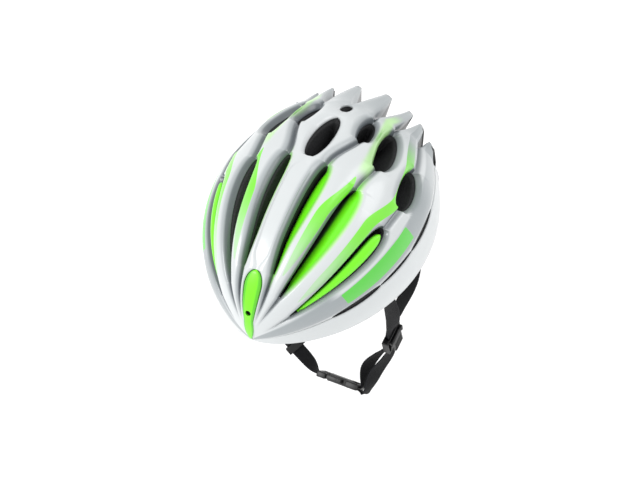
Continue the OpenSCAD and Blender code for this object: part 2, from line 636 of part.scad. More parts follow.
chin_loop_right();
buckle_female();
buckle_male();
latch_arm(1);  // latch_arm_upper
latch_arm(-1);  // latch_arm_lower
strap_keeper();
strap_end_tail();
strap_end_cap();
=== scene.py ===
"""Road cycling helmet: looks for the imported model. Lengths in the shape functions are millimetres, as in the
design. Meshes are made in metres. The front faces -Y, the wearer's left is +X and up is +Z."""
import math

import bmesh
import bpy
import numpy as np
from mathutils import Matrix, Vector
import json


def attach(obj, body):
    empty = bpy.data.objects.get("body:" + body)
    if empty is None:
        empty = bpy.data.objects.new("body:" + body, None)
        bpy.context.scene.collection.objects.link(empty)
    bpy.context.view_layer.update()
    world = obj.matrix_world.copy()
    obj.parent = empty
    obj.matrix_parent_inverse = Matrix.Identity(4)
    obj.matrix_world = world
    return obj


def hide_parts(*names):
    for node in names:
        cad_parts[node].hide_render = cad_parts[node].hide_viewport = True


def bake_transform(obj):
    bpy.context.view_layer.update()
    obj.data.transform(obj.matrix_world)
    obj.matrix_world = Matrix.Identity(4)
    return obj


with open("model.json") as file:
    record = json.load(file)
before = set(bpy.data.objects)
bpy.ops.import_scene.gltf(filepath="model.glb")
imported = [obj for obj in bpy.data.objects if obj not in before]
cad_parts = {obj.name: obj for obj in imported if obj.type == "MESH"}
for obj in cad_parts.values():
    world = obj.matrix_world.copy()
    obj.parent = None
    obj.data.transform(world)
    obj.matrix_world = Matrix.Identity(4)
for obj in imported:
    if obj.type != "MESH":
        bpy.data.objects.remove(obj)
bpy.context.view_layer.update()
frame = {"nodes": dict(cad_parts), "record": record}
MM = 0.001
LEFT, RIGHT = 1, -1
SIDES = (("left", LEFT), ("right", RIGHT))
MIRROR = np.array((-1, 1, 1))

# ---- The shell's form, as in the design ----
HALF_L, HALF_W, CROWN_H = 150.0, 110.0, 108.0
BROW_Z, REAR_Z = 27.0, -5.0
CHANNEL = 5.0            # depth of the vent channels under the rib tops
CHANNEL_IN = (14, 44)    # t over which the channels sink in from the brow
HAIR = 0.3               # half width left where a column closes
FLANK = 2.5              # width of a rib's sloping flank, in degrees of f
RIB_CROWN = 1.2          # how far a rib's top bulges between its flanks
RIB_CROWN_IN = (10, 40)
VENT_LIP = 2.0           # how far the skin dips into the crown vent
FIN_CROWN = 2.5
RIM_F, BAND_MID_F, BAND_F = 98.0, 88.0, 76.0
FIRST_T, LAST_T = 4.0, 127.0
BADGE_T = (4.0, 42.0)
BADGE_HALF, BADGE_HALF_T, BADGE_TAPER = 15.0, 10.0, 0.21
BADGE_ROUND = 8.0        # length in t of the badge's rounded end
RIB_IN, RIB_OUT = (42.0, 50.0), (84.0, 92.0)
CROWN_VENT_T, CROWN_VENT_HALF = (92.0, 116.0), 5.6
SMALL_VENT_T, SMALL_VENT_HALF = (120.0, 127.0), 3.4
# Each lane: f at the front, f at the rear, t where it shifts, front vent and rear vent as (t0, t1, half width).
LANES = (
    dict(front=11.0, rear=19.5, shift=(92, 112), vents=((42, 92, 3.8), (108, 124, 4.2))),
    dict(front=30.0, rear=35.5, shift=(88, 108), vents=((34, 88, 5.2), (100, 124, 6.2))),
    dict(front=53.5, rear=56.0, shift=(82, 100), vents=((30, 82, 6.6), (92, 112, 6.4))),
)
# Each fin: t of its end, and f of its two edges there.
FINS = ((149, 13, 23), (144.5, 41, 48), (140, 53, 60), (132, 62, 69))
FIN_LIFT = 4.5
# Each slit between the upper and the lower shell: t at its ends, and half width.
SLITS = ((44, 66, 1.8), (66, 84, 0.8), (84, 104, 1.3))
SEAM = 0.4
THROAT = 0.003           # width of a vent on the cavity's wall, as a share of its width in the skin
THROAT_SHIFT = {"A": 0.75, "B": 0.85, "C": 0.0}   # how far it leans to the centre, in vent half widths
RIB_HALF = 4.5
BROW_SPREAD = 9.0
REAR_RIM_Z, RIM_RISE = -24.0, 13.0
CAVITY = dict(l=100.0, w=78.0, h=86.0, y=-15.0, z=9.0, slope=-0.15)


def rad(v):
    return np.radians(v)


def smooth(a, b, v):
    u = np.clip((np.asarray(v, float) - a) / (b - a), 0, 1)
    return u * u * (3 - 2 * u)


def window(rise, fall, v):
    """Up from 0 to 1 over rise and down again over fall."""
    return smooth(*rise, v) * (1 - smooth(*fall, v))


def mix(a, b, u):
    return a + (b - a) * u


def teardrop(u):
    """Pointed at u = 0 and rounded at u = 1."""
    c = np.clip(u, 0, 1)
    return np.where((u <= 0) | (u >= 1), 0, c**0.55 * np.sqrt(1 - c**5))


def lens(u):
    c = np.clip(u, 0, 1)
    return np.where((u <= 0) | (u >= 1), 0, np.sqrt(4 * c * (1 - c)))


def share_along(vent, t):
    return (np.asarray(t, float) - vent[0]) / (vent[1] - vent[0])


def lane_half(lane, t):
    front, rear = lane["vents"]
    return HAIR + front[2] * teardrop(share_along(front, t)) + rear[2] * lens(share_along(rear, t))


def lane_mid(lane, t):
    spread = BROW_SPREAD * (1 - smooth(10, 60, t)) if lane is LANES[0] else 0
    return mix(lane["front"], lane["rear"], smooth(*lane["shift"], t)) + spread


def badge_half(t):
    t = np.asarray(t, float)
    past = np.maximum(t - (BADGE_T[1] - BADGE_ROUND), 0) / BADGE_ROUND
    end = np.sqrt(np.clip(1 - past**2, 0, 1))
    half = (BADGE_HALF - BADGE_TAPER * (t - BADGE_HALF_T)) * end
    return np.where(t > BADGE_T[1], HAIR, np.maximum(HAIR, half))


def centre_half(t):
    t = np.asarray(t, float)
    rib = np.maximum(HAIR, RIB_HALF * window(RIB_IN, RIB_OUT, t))
    crown = CROWN_VENT_HALF * lens(share_along(CROWN_VENT_T, t))
    small = SMALL_VENT_HALF * lens(share_along(SMALL_VENT_T, t))
    return np.where(t < RIB_IN[0], badge_half(t), np.where(t < RIB_OUT[1], rib, HAIR + crown + small))


def seam_half(t):
    return SEAM + np.max([s[2] * lens(share_along(s, t)) for s in SLITS], axis=0)


def base_z(t):
    return REAR_Z + (BROW_Z - REAR_Z) * (0.5 + 0.5 * np.cos(rad(t)))


def outer(t, f, d=0.0):
    t, f = np.broadcast_arrays(np.asarray(t, float), np.asarray(f, float))
    s = np.sin(rad(t))
    plan = np.where(t < 90, 1.3, 1.2)
    profile = np.where(t < 90, 0.95, 1.1)
    x = (HALF_W * s**plan + d) * np.sin(rad(f))
    y = -(HALF_L + d) * np.cos(rad(t))
    z = base_z(t) + (CROWN_H * s**profile + d) * np.cos(rad(f))
    return np.stack([x, y, z], -1)


def cavity_at(ux, uy, uz, d=0.0):
    y = CAVITY["y"] + (CAVITY["l"] - d) * uy
    x = (CAVITY["w"] - d) * ux
    z = CAVITY["z"] + CAVITY["slope"] * (y - CAVITY["y"]) + (CAVITY["h"] - d) * uz
    return np.stack([x, y, z], -1)


def cavity(t, f, d=0.0):
    t, f = np.broadcast_arrays(rad(t), rad(f))
    return cavity_at(np.sin(t) * np.sin(f), -np.cos(t), np.sin(t) * np.cos(f), d)


def inner_t(t):
    t = np.asarray(t, float)
    return t * (1 + 0.1 * (t / LAST_T) ** 2)


TOP_X = outer(LAST_T, RIM_F)[0]


def bowl(s, f, d=0.0):
    s, f = np.broadcast_arrays(np.asarray(s, float), np.asarray(f, float))
    top = outer(np.full_like(f, LAST_T), f)
    c = np.cos(rad(0.9 * f))
    rim = np.stack([TOP_X * np.sin(rad(0.92 * f)), 90 + 6 * c, REAR_RIM_Z + RIM_RISE * (1 - c)], -1)
    bulge = 13 * np.sin(np.pi * s) * c
    push = np.stack([d * np.sin(rad(0.92 * f)), bulge + d * np.cos(rad(0.7 * f)), 0 * f], -1)
    return mix(top, rim, s[..., None]) + push


def inner_bowl(s, f):
    s, f = np.broadcast_arrays(np.asarray(s, float), np.asarray(f, float))
    top = cavity(np.full_like(f, inner_t(LAST_T)), f)
    c = np.cos(rad(0.9 * f))
    rim = np.stack([51 * np.sin(rad(0.92 * f)), 60 + 14 * c, REAR_RIM_Z + RIM_RISE * (1 - c)], -1)
    bulge = np.stack([0 * f, 10 * np.sin(np.pi * s) * c, 0 * f], -1)
    return mix(top, rim, s[..., None]) + bulge


# ---- The grid that the shell and the liner are made on ----
# Control columns of one half, from the centre line to the rim, named for what they bound.
CONTROLS = ["centre", "rib0"]
for _name in "ABC":
    CONTROLS += [_name + "_top_in", _name + "_in", _name + "_out", _name + "_top_out"]
CONTROLS += ["band_up", "band_low", "band_mid", "rim"]
# How many cells each stretch between control columns gets.
CELLS = [6, 7, 4, 2, 4, 16, 4, 2, 4, 14, 4, 2, 4, 18, 1, 8, 7]
# The fin that a control column runs into, and the index of its edge in FINS.
FIN_EDGES = {
    "rib0": (0, 1), "A_top_in": (0, 2), "A_top_out": (1, 1), "B_top_in": (1, 2),
    "B_top_out": (2, 1), "C_top_in": (2, 2), "C_top_out": (3, 1), "band_up": (3, 2),
}


def control_f(t, widen=0.0):
    """f of every control column at each t; widen opens the vents a little."""
    t = np.asarray(t, float)
    cols = [0 * t, centre_half(t)]
    for lane in LANES:
        m, h = lane_mid(lane, t), lane_half(lane, t)
        cols += [m - h - FLANK, m - h - widen, m + h + widen, m + h + FLANK]
    s = seam_half(t)
    return np.stack(cols + [BAND_F - s, BAND_F + s, BAND_MID_F + 0 * t, RIM_F + 0 * t], -1)


def channel_drop(t):
    return -CHANNEL * smooth(*CHANNEL_IN, t)


def control_lift(t):
    """Height of every control column over the design's surface."""
    t = np.asarray(t, float)
    drop = channel_drop(t)
    return np.stack([drop if name[1:] in ("_in", "_out") else 0 * t for name in CONTROLS], -1)


class Columns:
    """The fine columns of one half: which stretch each lies in and how far across it."""

    def __init__(self):
        self.stretch = np.concatenate([np.full(n, k) for k, n in enumerate(CELLS)] + [[len(CELLS) - 1]])
        self.part = np.concatenate([np.arange(n) / n for n in CELLS] + [[1.0]])
        self.first = dict(zip(CONTROLS, np.concatenate([[0], np.cumsum(CELLS)])))
        self.count = len(self.part)


COLS = Columns()


def row_list():
    """t of the main rows: even steps, and more where a vent starts or ends."""
    rows = set(np.round(np.linspace(FIRST_T, LAST_T, 124), 3))
    vents = [v for lane in LANES for v in lane["vents"]] + [CROWN_VENT_T, SMALL_VENT_T, BADGE_T, *SLITS]
    for vent in vents:
        for end, step in ((vent[0], 1), (vent[1], -1)):
            rows |= {round(end + step * k, 3) for k in (0, 0.04, 0.16, 0.36, 0.64)}
    return np.array(sorted(t for t in rows if FIRST_T <= t <= LAST_T))


MAIN_T = row_list()
FIN_STEPS, FOLD_STEPS = 9, 7
FIN_V = np.linspace(0, 1, FIN_STEPS)[1:]
FOLD_V = np.linspace(0, 1, FOLD_STEPS)[1:]
FIN_ROOT_S, FOLD_S = 0.12, 0.35     # s of the bowl at the fins' ends and where the fold under them ends
SPLIT_S = (0.52, 0.55)
BOWL_S = np.array([
    *np.linspace(FOLD_S, SPLIT_S[0], 5)[1:],
    sum(SPLIT_S) / 2,
    *np.linspace(SPLIT_S[1], 1, 13),
])
PORT_S = (0.6, 0.8)


def fan_out(values):
    """Spreads the values of the control columns over the fine columns, straight between them."""
    a = values[..., COLS.stretch, :] if values.ndim > 2 else values[..., COLS.stretch]
    b = values[..., COLS.stretch + 1, :] if values.ndim > 2 else values[..., COLS.stretch + 1]
    part = COLS.part[:, None] if values.ndim > 2 else COLS.part
    return a + (b - a) * part


def profile_lift(t):
    """Lift of the fine columns: flanks fall in a curve, rib tops are slightly crowned."""
    low = control_lift(t)
    lift = np.zeros((len(t), COLS.count))
    for n in range(COLS.count):
        k, v = COLS.stretch[n], COLS.part[n]
        name = CONTROLS[k]
        if name.endswith("_top_in"):
            lift[:, n] = low[:, k + 1] * v**1.7
        elif name[1:] == "_out":
            lift[:, n] = low[:, k] * (1 - v) ** 1.7
        elif name[1:] == "_in":
            lift[:, n] = low[:, k]
        elif name in ("rib0", "A_top_out", "B_top_out"):
            lift[:, n] = RIB_CROWN * 4 * v * (1 - v) * smooth(*RIB_CROWN_IN, t)
        elif name == "C_top_out":
            lift[:, n] = RIB_CROWN * math.sin(math.pi * v) * smooth(*RIB_CROWN_IN, t)
    lip = lens(share_along(CROWN_VENT_T, t)) ** 0.5 * VENT_LIP
    start, end = COLS.first["rib0"], COLS.first["A_top_in"]
    for n in range(start, end):
        lift[:, n] -= lip * (1 - smooth(0, 0.3, COLS.part[n]))
    return lift


def shell_half(d, widen=0.0):
    """Points of the +X half, rows by fine columns, d above the design's surface."""
    f = fan_out(control_f(MAIN_T, widen))
    main = outer(MAIN_T[:, None], f, profile_lift(MAIN_T) + d)
    last_f = control_f(np.array([LAST_T]), widen)[0]
    low = control_lift(np.array([LAST_T]))[0]

    def bowl_row(s):
        fine = fan_out(last_f[None])[0]
        return bowl(s, fine, profile_lift(np.array([LAST_T]))[0] + d)

    def fin_row(v):
        points = []
        for k, name in enumerate(CONTROLS):
            if name in FIN_EDGES:
                fin, edge = FIN_EDGES[name]
                t = mix(LAST_T, FINS[fin][0], v)
                f = mix(last_f[k], FINS[fin][edge], v)
                points.append(outer(t, f, FIN_LIFT * v**1.5 + d))
            else:
                points.append(bowl(FIN_ROOT_S * v, last_f[k], low[k] + d))
        line = fan_out(np.array(points)[None])[0]
        bump = np.zeros(COLS.count)
        for n in range(COLS.count):
            k, part = COLS.stretch[n], COLS.part[n]
            if CONTROLS[k] in FIN_EDGES and CONTROLS[k + 1] in FIN_EDGES:
                bump[n] = 4 * part * (1 - part) * (RIB_CROWN + FIN_CROWN * v)
        line[:, 2] += bump
        return line

    fins = [fin_row(v) for v in FIN_V]
    under = bowl_row(FOLD_S)
    fold = [mix(fins[-1], under, smooth(0, 1, v) * 0.3 + 0.7 * v) for v in FOLD_V]
    return np.concatenate([main, np.array(fins + fold + [bowl_row(s) for s in BOWL_S])])


def lane_columns():
    """Each lane with its letter and its control columns at the vent's inner and outer edge."""
    return [(lane, letter, (letter + "_in", letter + "_out")) for lane, letter in zip(LANES, "ABC")]


def liner_half():
    """Points on the head cavity's wall that match shell_half: each vent narrows to a leaning throat."""
    f = control_f(MAIN_T)
    skin_f, last_f = fan_out(f), f[-1].copy()
    for lane, _, edges in lane_columns():
        for k in map(CONTROLS.index, edges):
            f[:, k] = mix(lane_mid(lane, MAIN_T), f[:, k], THROAT)
    f[:, 1] = np.where(MAIN_T >= BADGE_T[1], f[:, 1] * 2 * THROAT, f[:, 1])
    wall_f = fan_out(f)
    for lane, letter, (inner_edge, outer_edge) in lane_columns():
        throat = slice(COLS.first[inner_edge], COLS.first[outer_edge] + 1)
        lean = THROAT_SHIFT[letter] * lane_half(lane, MAIN_T)[:, None]
        wall_f[:, throat] = mix(lane_mid(lane, MAIN_T)[:, None], skin_f[:, throat], THROAT) - lean
    main = cavity(inner_t(MAIN_T)[:, None], wall_f)
    fine = fan_out(last_f[None])[0]
    s_rows = [*(FIN_ROOT_S * FIN_V), *mix(FIN_ROOT_S, FOLD_S, FOLD_V), *BOWL_S]
    return np.concatenate([main, np.array([inner_bowl(s, fine) for s in s_rows])])


FIRST_BOWL = len(MAIN_T) + FIN_STEPS - 1 + FOLD_STEPS - 1
ROWS = FIRST_BOWL + len(BOWL_S)


def both_sides(half, sign=1):
    """Mirrors a half, so that columns run from the wearer's right rim to the left one. sign is what mirroring
    multiplies the values by."""
    return np.concatenate([half[:, :0:-1] * sign, half], axis=1)


def middles(v):
    return (v[:-1] + v[1:]) / 2


def between(values, span):
    return (values > span[0]) & (values < span[1])


# The stretch of each cell column of the full grid, and the middle of each cell row, in t on the main rows and in s
# on the rear bowl. It is -1 elsewhere.
STRETCH = np.concatenate([COLS.stretch[:-1][::-1], COLS.stretch[:-1]])
CELL_T, CELL_S = np.full(ROWS - 1, -1.0), np.full(ROWS - 1, -1.0)
CELL_T[: len(MAIN_T) - 1] = middles(MAIN_T)
CELL_S[FIRST_BOWL:] = middles(BOWL_S)
CENTRE_STRETCH, BAND_STRETCH = CONTROLS.index("centre"), CONTROLS.index("band_up")
PORT_STRETCHES = [CONTROLS.index(name) for name in ("A_top_out", "B_top_out")]


def open_cells():
    """Cells that nothing covers: the vents, and the exhaust ports in the rear bowl."""
    gone = between(CELL_S, PORT_S)[:, None] & np.isin(STRETCH, PORT_STRETCHES)
    for lane, _, edges in lane_columns():
        for vent in lane["vents"]:
            gone |= between(CELL_T, vent)[:, None] & (STRETCH == CONTROLS.index(edges[0]))
    for vent in (CROWN_VENT_T, SMALL_VENT_T):
        gone |= between(CELL_T, vent)[:, None] & (STRETCH == CENTRE_STRETCH)
    return gone


OPEN = open_cells()
BADGE_CELLS = between(CELL_T, BADGE_T)[:, None] & (STRETCH == CENTRE_STRETCH)
UPPER = ~OPEN & ~BADGE_CELLS & (STRETCH < BAND_STRETCH) & (CELL_S < SPLIT_S[0])[:, None]
LOWER = ~OPEN & ((STRETCH > BAND_STRETCH) | (CELL_S > SPLIT_S[1])[:, None])


# ---- Mesh helpers ----
def add_object(name, data):
    obj = bpy.data.objects.new(name, data)
    bpy.context.scene.collection.objects.link(obj)
    return obj


def mesh_object(name, points, faces, material, fields=None, colours=None):
    """A smooth-shaded mesh from points in millimetres, with float fields and colours kept on its points."""
    mesh = bpy.data.meshes.new(name)
    mesh.from_pydata((np.asarray(points, float) * MM).tolist(), [], faces)
    mesh.polygons.foreach_set("use_smooth", [True] * len(mesh.polygons))
    for key, values in (fields or {}).items():
        mesh.attributes.new(key, "FLOAT", "POINT").data.foreach_set("value", np.asarray(values, np.float32))
    for key, values in (colours or {}).items():
        rgba = np.concatenate([np.asarray(values, np.float32), np.ones((len(values), 1), np.float32)], 1)
        mesh.attributes.new(key, "FLOAT_COLOR", "POINT").data.foreach_set("color", rgba.ravel())
    mesh.materials.append(material)
    return add_object(name, mesh)


def apply_modifiers(obj):
    bpy.context.view_layer.update()
    graph = bpy.context.evaluated_depsgraph_get()
    made = obj.evaluated_get(graph)
    mesh = bpy.data.meshes.new_from_object(made, preserve_all_data_layers=True, depsgraph=graph)
    obj.modifiers.clear()
    obj.data = mesh
    return obj


def thicken(obj, thickness):
    """Adds thickness on the inner side, in millimetres."""
    mod = obj.modifiers.new("thickness", "SOLIDIFY")
    mod.thickness = thickness * MM
    mod.offset = -1
    return apply_modifiers(obj)


def keep_sharp(obj, angle=35):
    """Keeps edges sharper than the angle crisp under smooth shading."""
    obj.data.set_sharp_from_angle(angle=math.radians(angle))
    return obj


def place(obj, body, slot_name, *nodes):
    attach(obj, body)
    if nodes:
        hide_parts(*nodes)
    return obj


# ---- Materials ----
class Nodes:
    """A short way to write a node tree."""

    def __init__(self, name):
        self.material = bpy.data.materials.new(name)
        self.material.use_nodes = True
        self.tree = self.material.node_tree
        self.shader = self.tree.nodes["Principled BSDF"]

    def add(self, kind, inputs=None, **settings):
        node = self.tree.nodes.new("ShaderNode" + kind)
        for key, value in settings.items():
            setattr(node, key, value)
        for key, value in (inputs or {}).items():
            self.put(node, key, value)
        return node

    def put(self, node, key, value):
        if isinstance(value, bpy.types.NodeSocket):
            self.tree.links.new(value, node.inputs[key])
        else:
            node.inputs[key].default_value = value

    def field(self, name, output="Fac"):
        return self.add("Attribute", attribute_name=name).outputs[output]

    def math(self, operation, a, b=0.0):
        return self.add("Math", {0: a, 1: b}, operation=operation).outputs[0]

    def step(self, value, low, high):
        """0 below low, 1 above high and smooth between."""
        node = self.add("MapRange", {"Value": value, "From Min": low, "From Max": high},
            interpolation_type="SMOOTHSTEP")
        return node.outputs["Result"]

    def mix(self, a, b, share):
        node = self.add("Mix", data_type="RGBA")
        self.put(node, 0, share)
        self.put(node, 6, a)
        self.put(node, 7, b)
        return node.outputs[2]

    def vary(self, scale, low, high):
        """A value that wanders between low and high over the object."""
        node = self.add("MapRange", {"Value": self.noise(scale), "To Min": low, "To Max": high})
        return node.outputs["Result"]

    def noise(self, scale, detail=2.0):
        where = self.add("TexCoord").outputs["Object"]
        return self.add("TexNoise", {"Vector": where, "Scale": scale, "Detail": detail}).outputs["Fac"]

    def bump(self, height, strength, distance):
        node = self.add("Bump", {"Height": height, "Strength": strength, "Distance": distance * MM})
        self.put(self.shader, "Normal", node.outputs["Normal"])

    def finish(self, **values):
        for key, value in values.items():
            self.put(self.shader, key.replace("_", " "), value)
        return self.material


def linear(r, g, b):
    """An sRGB colour of 0 to 255 as linear light."""
    c = np.array([r, g, b]) / 255
    return np.where(c <= 0.04045, c / 12.92, ((c + 0.055) / 1.055) ** 2.4)


def rgba(colour):
    return (*[float(v) for v in colour], 1.0)


def ink(srgb):
    """An sRGB colour of 0 to 255 as a shader's colour value."""
    return rgba(linear(*srgb))


WHITE = linear(206, 210, 211)
# Dark grey of the painted shade on the flanks that face +X.
FLANK_SHADE_GREY = linear(98, 104, 109)
PALE_GREY = linear(146, 153, 156)
GREEN = linear(112, 242, 14)
PALE_GREEN = linear(176, 232, 140)
BRIGHT_GREEN = linear(118, 238, 10)
PATCH_GREEN = linear(86, 205, 62)
STRIPE_GREEN = linear(122, 226, 54)
BLACK = linear(20, 21, 22)


def paint_material():
    """Moulded skin: its paint and painted shade come from the points, and the stripes' edges are cut sharp in the
    shader.
    """
    n = Nodes("shell_paint")
    stripe = n.step(n.field("stripe"), -0.12, 0.12)
    patch = n.step(n.field("patch"), -0.12, 0.12)
    base = n.field("paint", "Color")
    faded = n.mix(rgba(STRIPE_GREEN), rgba(PALE_GREY), n.field("stripe_fade"))
    colour = n.mix(base, faded, n.math("MULTIPLY", stripe, n.field("stripe_share")))
    colour = n.mix(colour, rgba(PATCH_GREEN), n.math("MULTIPLY", patch, 0.95))
    mottle = n.step(n.noise(60, 3), 0.2, 0.8)
    colour = n.mix(colour, n.mix(colour, rgba(PALE_GREY), 0.12), n.math("MULTIPLY", mottle, 0.25))
    n.bump(n.noise(900, 2), 0.03, 0.4)
    deep = n.step(n.field("depth"), 0.3, 0.7)
    rough = n.math("ADD", n.vary(25, 0.26, 0.36), n.math("MULTIPLY", deep, 0.4))
    return n.finish(Base_Color=colour, Roughness=rough, Coat_Weight=0.35, Coat_Roughness=0.12)


BEADS = 330.0            # beads of foam per metre
KNIT_CELLS = 520.0       # cells of the pads' knit per metre


def foam_material():
    """Expanded foam: fused beads."""
    n = Nodes("foam")
    where = n.add("TexCoord").outputs["Object"]
    beads = n.add("TexVoronoi", {"Vector": where, "Scale": BEADS}, feature="F1")
    edge = n.add("TexVoronoi", {"Vector": where, "Scale": BEADS}, feature="DISTANCE_TO_EDGE")
    line = n.step(edge.outputs["Distance"], 0.0, 0.12)
    colour = n.mix(ink((9, 9, 10)), ink((30, 31, 33)), line)
    tone = n.add("SeparateColor", {"Color": beads.outputs["Color"]}).outputs[0]
    colour = n.mix(colour, ink((42, 43, 45)), n.math("MULTIPLY", tone, 0.25))
    n.bump(line, 0.5, 0.25)
    return n.finish(Base_Color=colour, Roughness=0.72)


def accent_material():
    """Green moulded inserts, brighter along the middle, with painted shade darkening them towards their rounded,
    turned-down edges.
    """
    n = Nodes("accent")
    middle = n.step(n.field("middle"), 0.0, 0.8)
    colour = n.mix(ink((84, 190, 24)), rgba(BRIGHT_GREEN), middle)
    fine = n.step(n.noise(70, 3), 0.3, 0.7)
    colour = n.mix(colour, ink((150, 246, 60)), n.math("MULTIPLY", fine, 0.12))
    n.bump(n.noise(800, 2), 0.04, 0.4)
    return n.finish(Base_Color=colour, Roughness=n.vary(30, 0.3, 0.42), Coat_Weight=0.25, Coat_Roughness=0.15)


WEAVE_PITCH = 0.9
TWILL_PITCH, TWILL_TURN, TWILL_SLANT = 1.5, 1.9, 1.2     # the herringbone's pitch, half repeat and slope
SELVEDGE = (6.2, 6.4)                                    # how far from the middle the woven edge starts
SELVEDGE_GROOVE = (6.0, 6.25)


def weave(n, along, across, pitch):
    """Height of a plain weave from two coordinates in millimetres."""
    a = n.math("SINE", n.math("MULTIPLY", along, 2 * math.pi / pitch))
    b = n.math("SINE", n.math("MULTIPLY", across, 2 * math.pi / pitch))
    return n.math("MULTIPLY", n.math("MULTIPLY", a, b), 0.5)


def webbing_material():
    """Woven polyester: a herringbone body between two selvedges."""
    n = Nodes("webbing")
    along, across = n.field("along"), n.field("across")
    side = n.math("ABSOLUTE", across)
    slant = n.math("ADD", along, n.math("MULTIPLY", n.math("PINGPONG", across, TWILL_TURN), TWILL_SLANT))
    ribs = n.math("SINE", n.math("MULTIPLY", slant, 2 * math.pi / TWILL_PITCH))
    selvedge = n.step(side, *SELVEDGE)
    fine = weave(n, along, across, WEAVE_PITCH)
    height = n.math("ADD", n.math("MULTIPLY", ribs, 0.5), fine)
    height = n.math("SUBTRACT", height, n.math("MULTIPLY", n.step(side, *SELVEDGE_GROOVE), 0.6))
    # The colour follows the weave's height: painted shade in its hollows and in the groove by the selvedge.
    shade = n.step(height, -0.8, 1.0)
    colour = n.mix(ink((2, 2, 3)), ink((20, 21, 25)), shade)
    colour = n.mix(colour, ink((28, 30, 36)), n.math("MULTIPLY", selvedge, 0.5))
    n.bump(height, 0.6, 0.22)
    return n.finish(Base_Color=colour, Roughness=0.75, Specular_IOR_Level=0.25)


def fabric_material():
    """Brushed knit pad cover with a darker bound edge."""
    n = Nodes("pad_fabric")
    where = n.add("TexCoord").outputs["Object"]
    cells = n.add("TexVoronoi", {"Vector": where, "Scale": KNIT_CELLS}, feature="F1").outputs["Distance"]
    edge = n.step(n.field("edge"), 0.0, 0.16)
    tone = n.mix(ink((36, 38, 42)), ink((74, 77, 84)), n.step(cells, 0.1, 0.7))
    tone = n.mix(tone, ink((52, 54, 60)), n.math("MULTIPLY", n.step(n.noise(90, 4), 0.3, 0.7), 0.5))
    colour = n.mix(ink((16, 16, 18)), tone, edge)
    n.bump(n.math("ADD", cells, n.noise(700, 2)), 0.5, 0.2)
    return n.finish(Base_Color=colour, Roughness=0.92, Sheen_Weight=0.4)


def plastic_material(name, dark, light, rough, grain):
    """Moulded plastic with a fine spark texture."""
    n = Nodes(name)
    fine = n.noise(grain, 3)
    colour = n.mix(ink(dark), ink(light), n.step(fine, 0.25, 0.75))
    n.bump(fine, 0.18, 0.12)
    return n.finish(Base_Color=colour, Roughness=n.vary(45, rough, rough + 0.14))


def steel_material():
    n = Nodes("steel")
    fine = n.noise(900, 2)
    colour = n.mix(ink((150, 152, 156)), ink((196, 198, 202)), fine)
    rough = n.math("ADD", n.math("MULTIPLY", fine, 0.2), 0.2)
    return n.finish(Base_Color=colour, Metallic=1.0, Roughness=rough)


def floor_material():
    n = Nodes("floor_paper")
    colour = n.mix(rgba((0.9, 0.9, 0.9)), rgba((0.94, 0.94, 0.94)), n.noise(3, 2))
    return n.finish(Base_Color=colour, Roughness=0.9, Emission_Color=colour, Emission_Strength=0.18)


MATERIALS = {
    "shell_white": paint_material(),
    "foam_black": foam_material(),
    "accent_green": accent_material(),
    "pad_fabric": fabric_material(),
    "band_nylon": plastic_material("band_nylon", (22, 23, 25), (34, 35, 38), 0.42, 1200),
    "knob_rubber": plastic_material("knob_rubber", (18, 18, 19), (30, 30, 32), 0.62, 700),
    "webbing": webbing_material(),
    "hardware_black": plastic_material("hardware_black", (6, 6, 7), (15, 16, 18), 0.34, 1500),
    "steel": steel_material(),
}

# ---- Paint and painted shade of the skin ----
GREEN_ON = (34, 44)     # t where the green flanks come in
GREEN_OFF = (86, 97)    # t where they go out
LANE_B_START = 24.0
LANE_C_START = 42.0     # the third lane's flanks are not green
SHADE_ON = (12, 34)     # t where the painted shade of the flanks comes in
SHADE_WIDTH = 3.2       # how far the painted shade of a flank fades out over the rib beside it, in degrees of f
GREY_TAIL_T = (114, 138)
# The side area above the band that gets a pale grey painted shade, in f and t, and the part of it that reaches to
# the brow.
SIDE_SHADE_F, SIDE_SHADE_FADE_T = ((61.2, 62.4), (72.5, 75)), (100, 118)
SIDE_FRONT_SHADE_F, SIDE_FRONT_SHADE_FADE_T = ((56, 60), (70, 73)), (46, 54)
REAR_TINT_F, REAR_TINT_T = ((24, 27), (30, 33)), ((92, 98), (128, 134))
# The stripes: t at the ends, f of the middle and half width. The second has no edge at the rear.
STRIPE_A_T, STRIPE_A_F, STRIPE_A_HALF = (44, 92), 21, 3.1
STRIPE_B_T, STRIPE_B_F, STRIPE_B_HALF = (37, 150), 44, 3.0
STRIPE_B_IN, STRIPE_FADE_T, STRIPE_SHARE_T = (36, 52), (104, 126), (46, 76)
PATCH_T, PATCH_F, PATCH_HALF = (52, 88), 66.5, 4.5
NO_STRIPE = -2
BOWL_T = 160.0          # the t that the paint takes the rear bowl to be at
FIN_SPAN_T = 14         # how far in t the fins run past the last row


def band_distance(value, middle, half):
    """How far inside a band a value lies: positive inside."""
    return half - np.abs(value - middle)


def stripe_fields(t, f):
    """Signed distances, in degrees of f, to the rib stripes and the side patch, and the rear fade."""
    a = np.abs(f)
    swell = np.sin(np.pi * np.clip(share_along(STRIPE_A_T, t), 0, 1)) ** 0.55
    half_a = np.where(between(t, STRIPE_A_T), STRIPE_A_HALF * swell, NO_STRIPE)
    first = band_distance(a, STRIPE_A_F + 5 * smooth(72, 90, t), half_a)
    half_b = np.where(between(t, STRIPE_B_T), STRIPE_B_HALF * smooth(*STRIPE_B_IN, t) ** 0.7, NO_STRIPE)
    second = band_distance(a, STRIPE_B_F + 7 * smooth(78, 95, t) - 3 * smooth(100, 122, t), half_b)
    length = 2 * np.minimum(t - PATCH_T[0], PATCH_T[1] - t)
    patch = np.minimum(band_distance(a, PATCH_F, PATCH_HALF), length)
    return np.maximum(first, second), patch, smooth(*STRIPE_FADE_T, t), mix(0.35, 1, smooth(*STRIPE_SHARE_T, t))


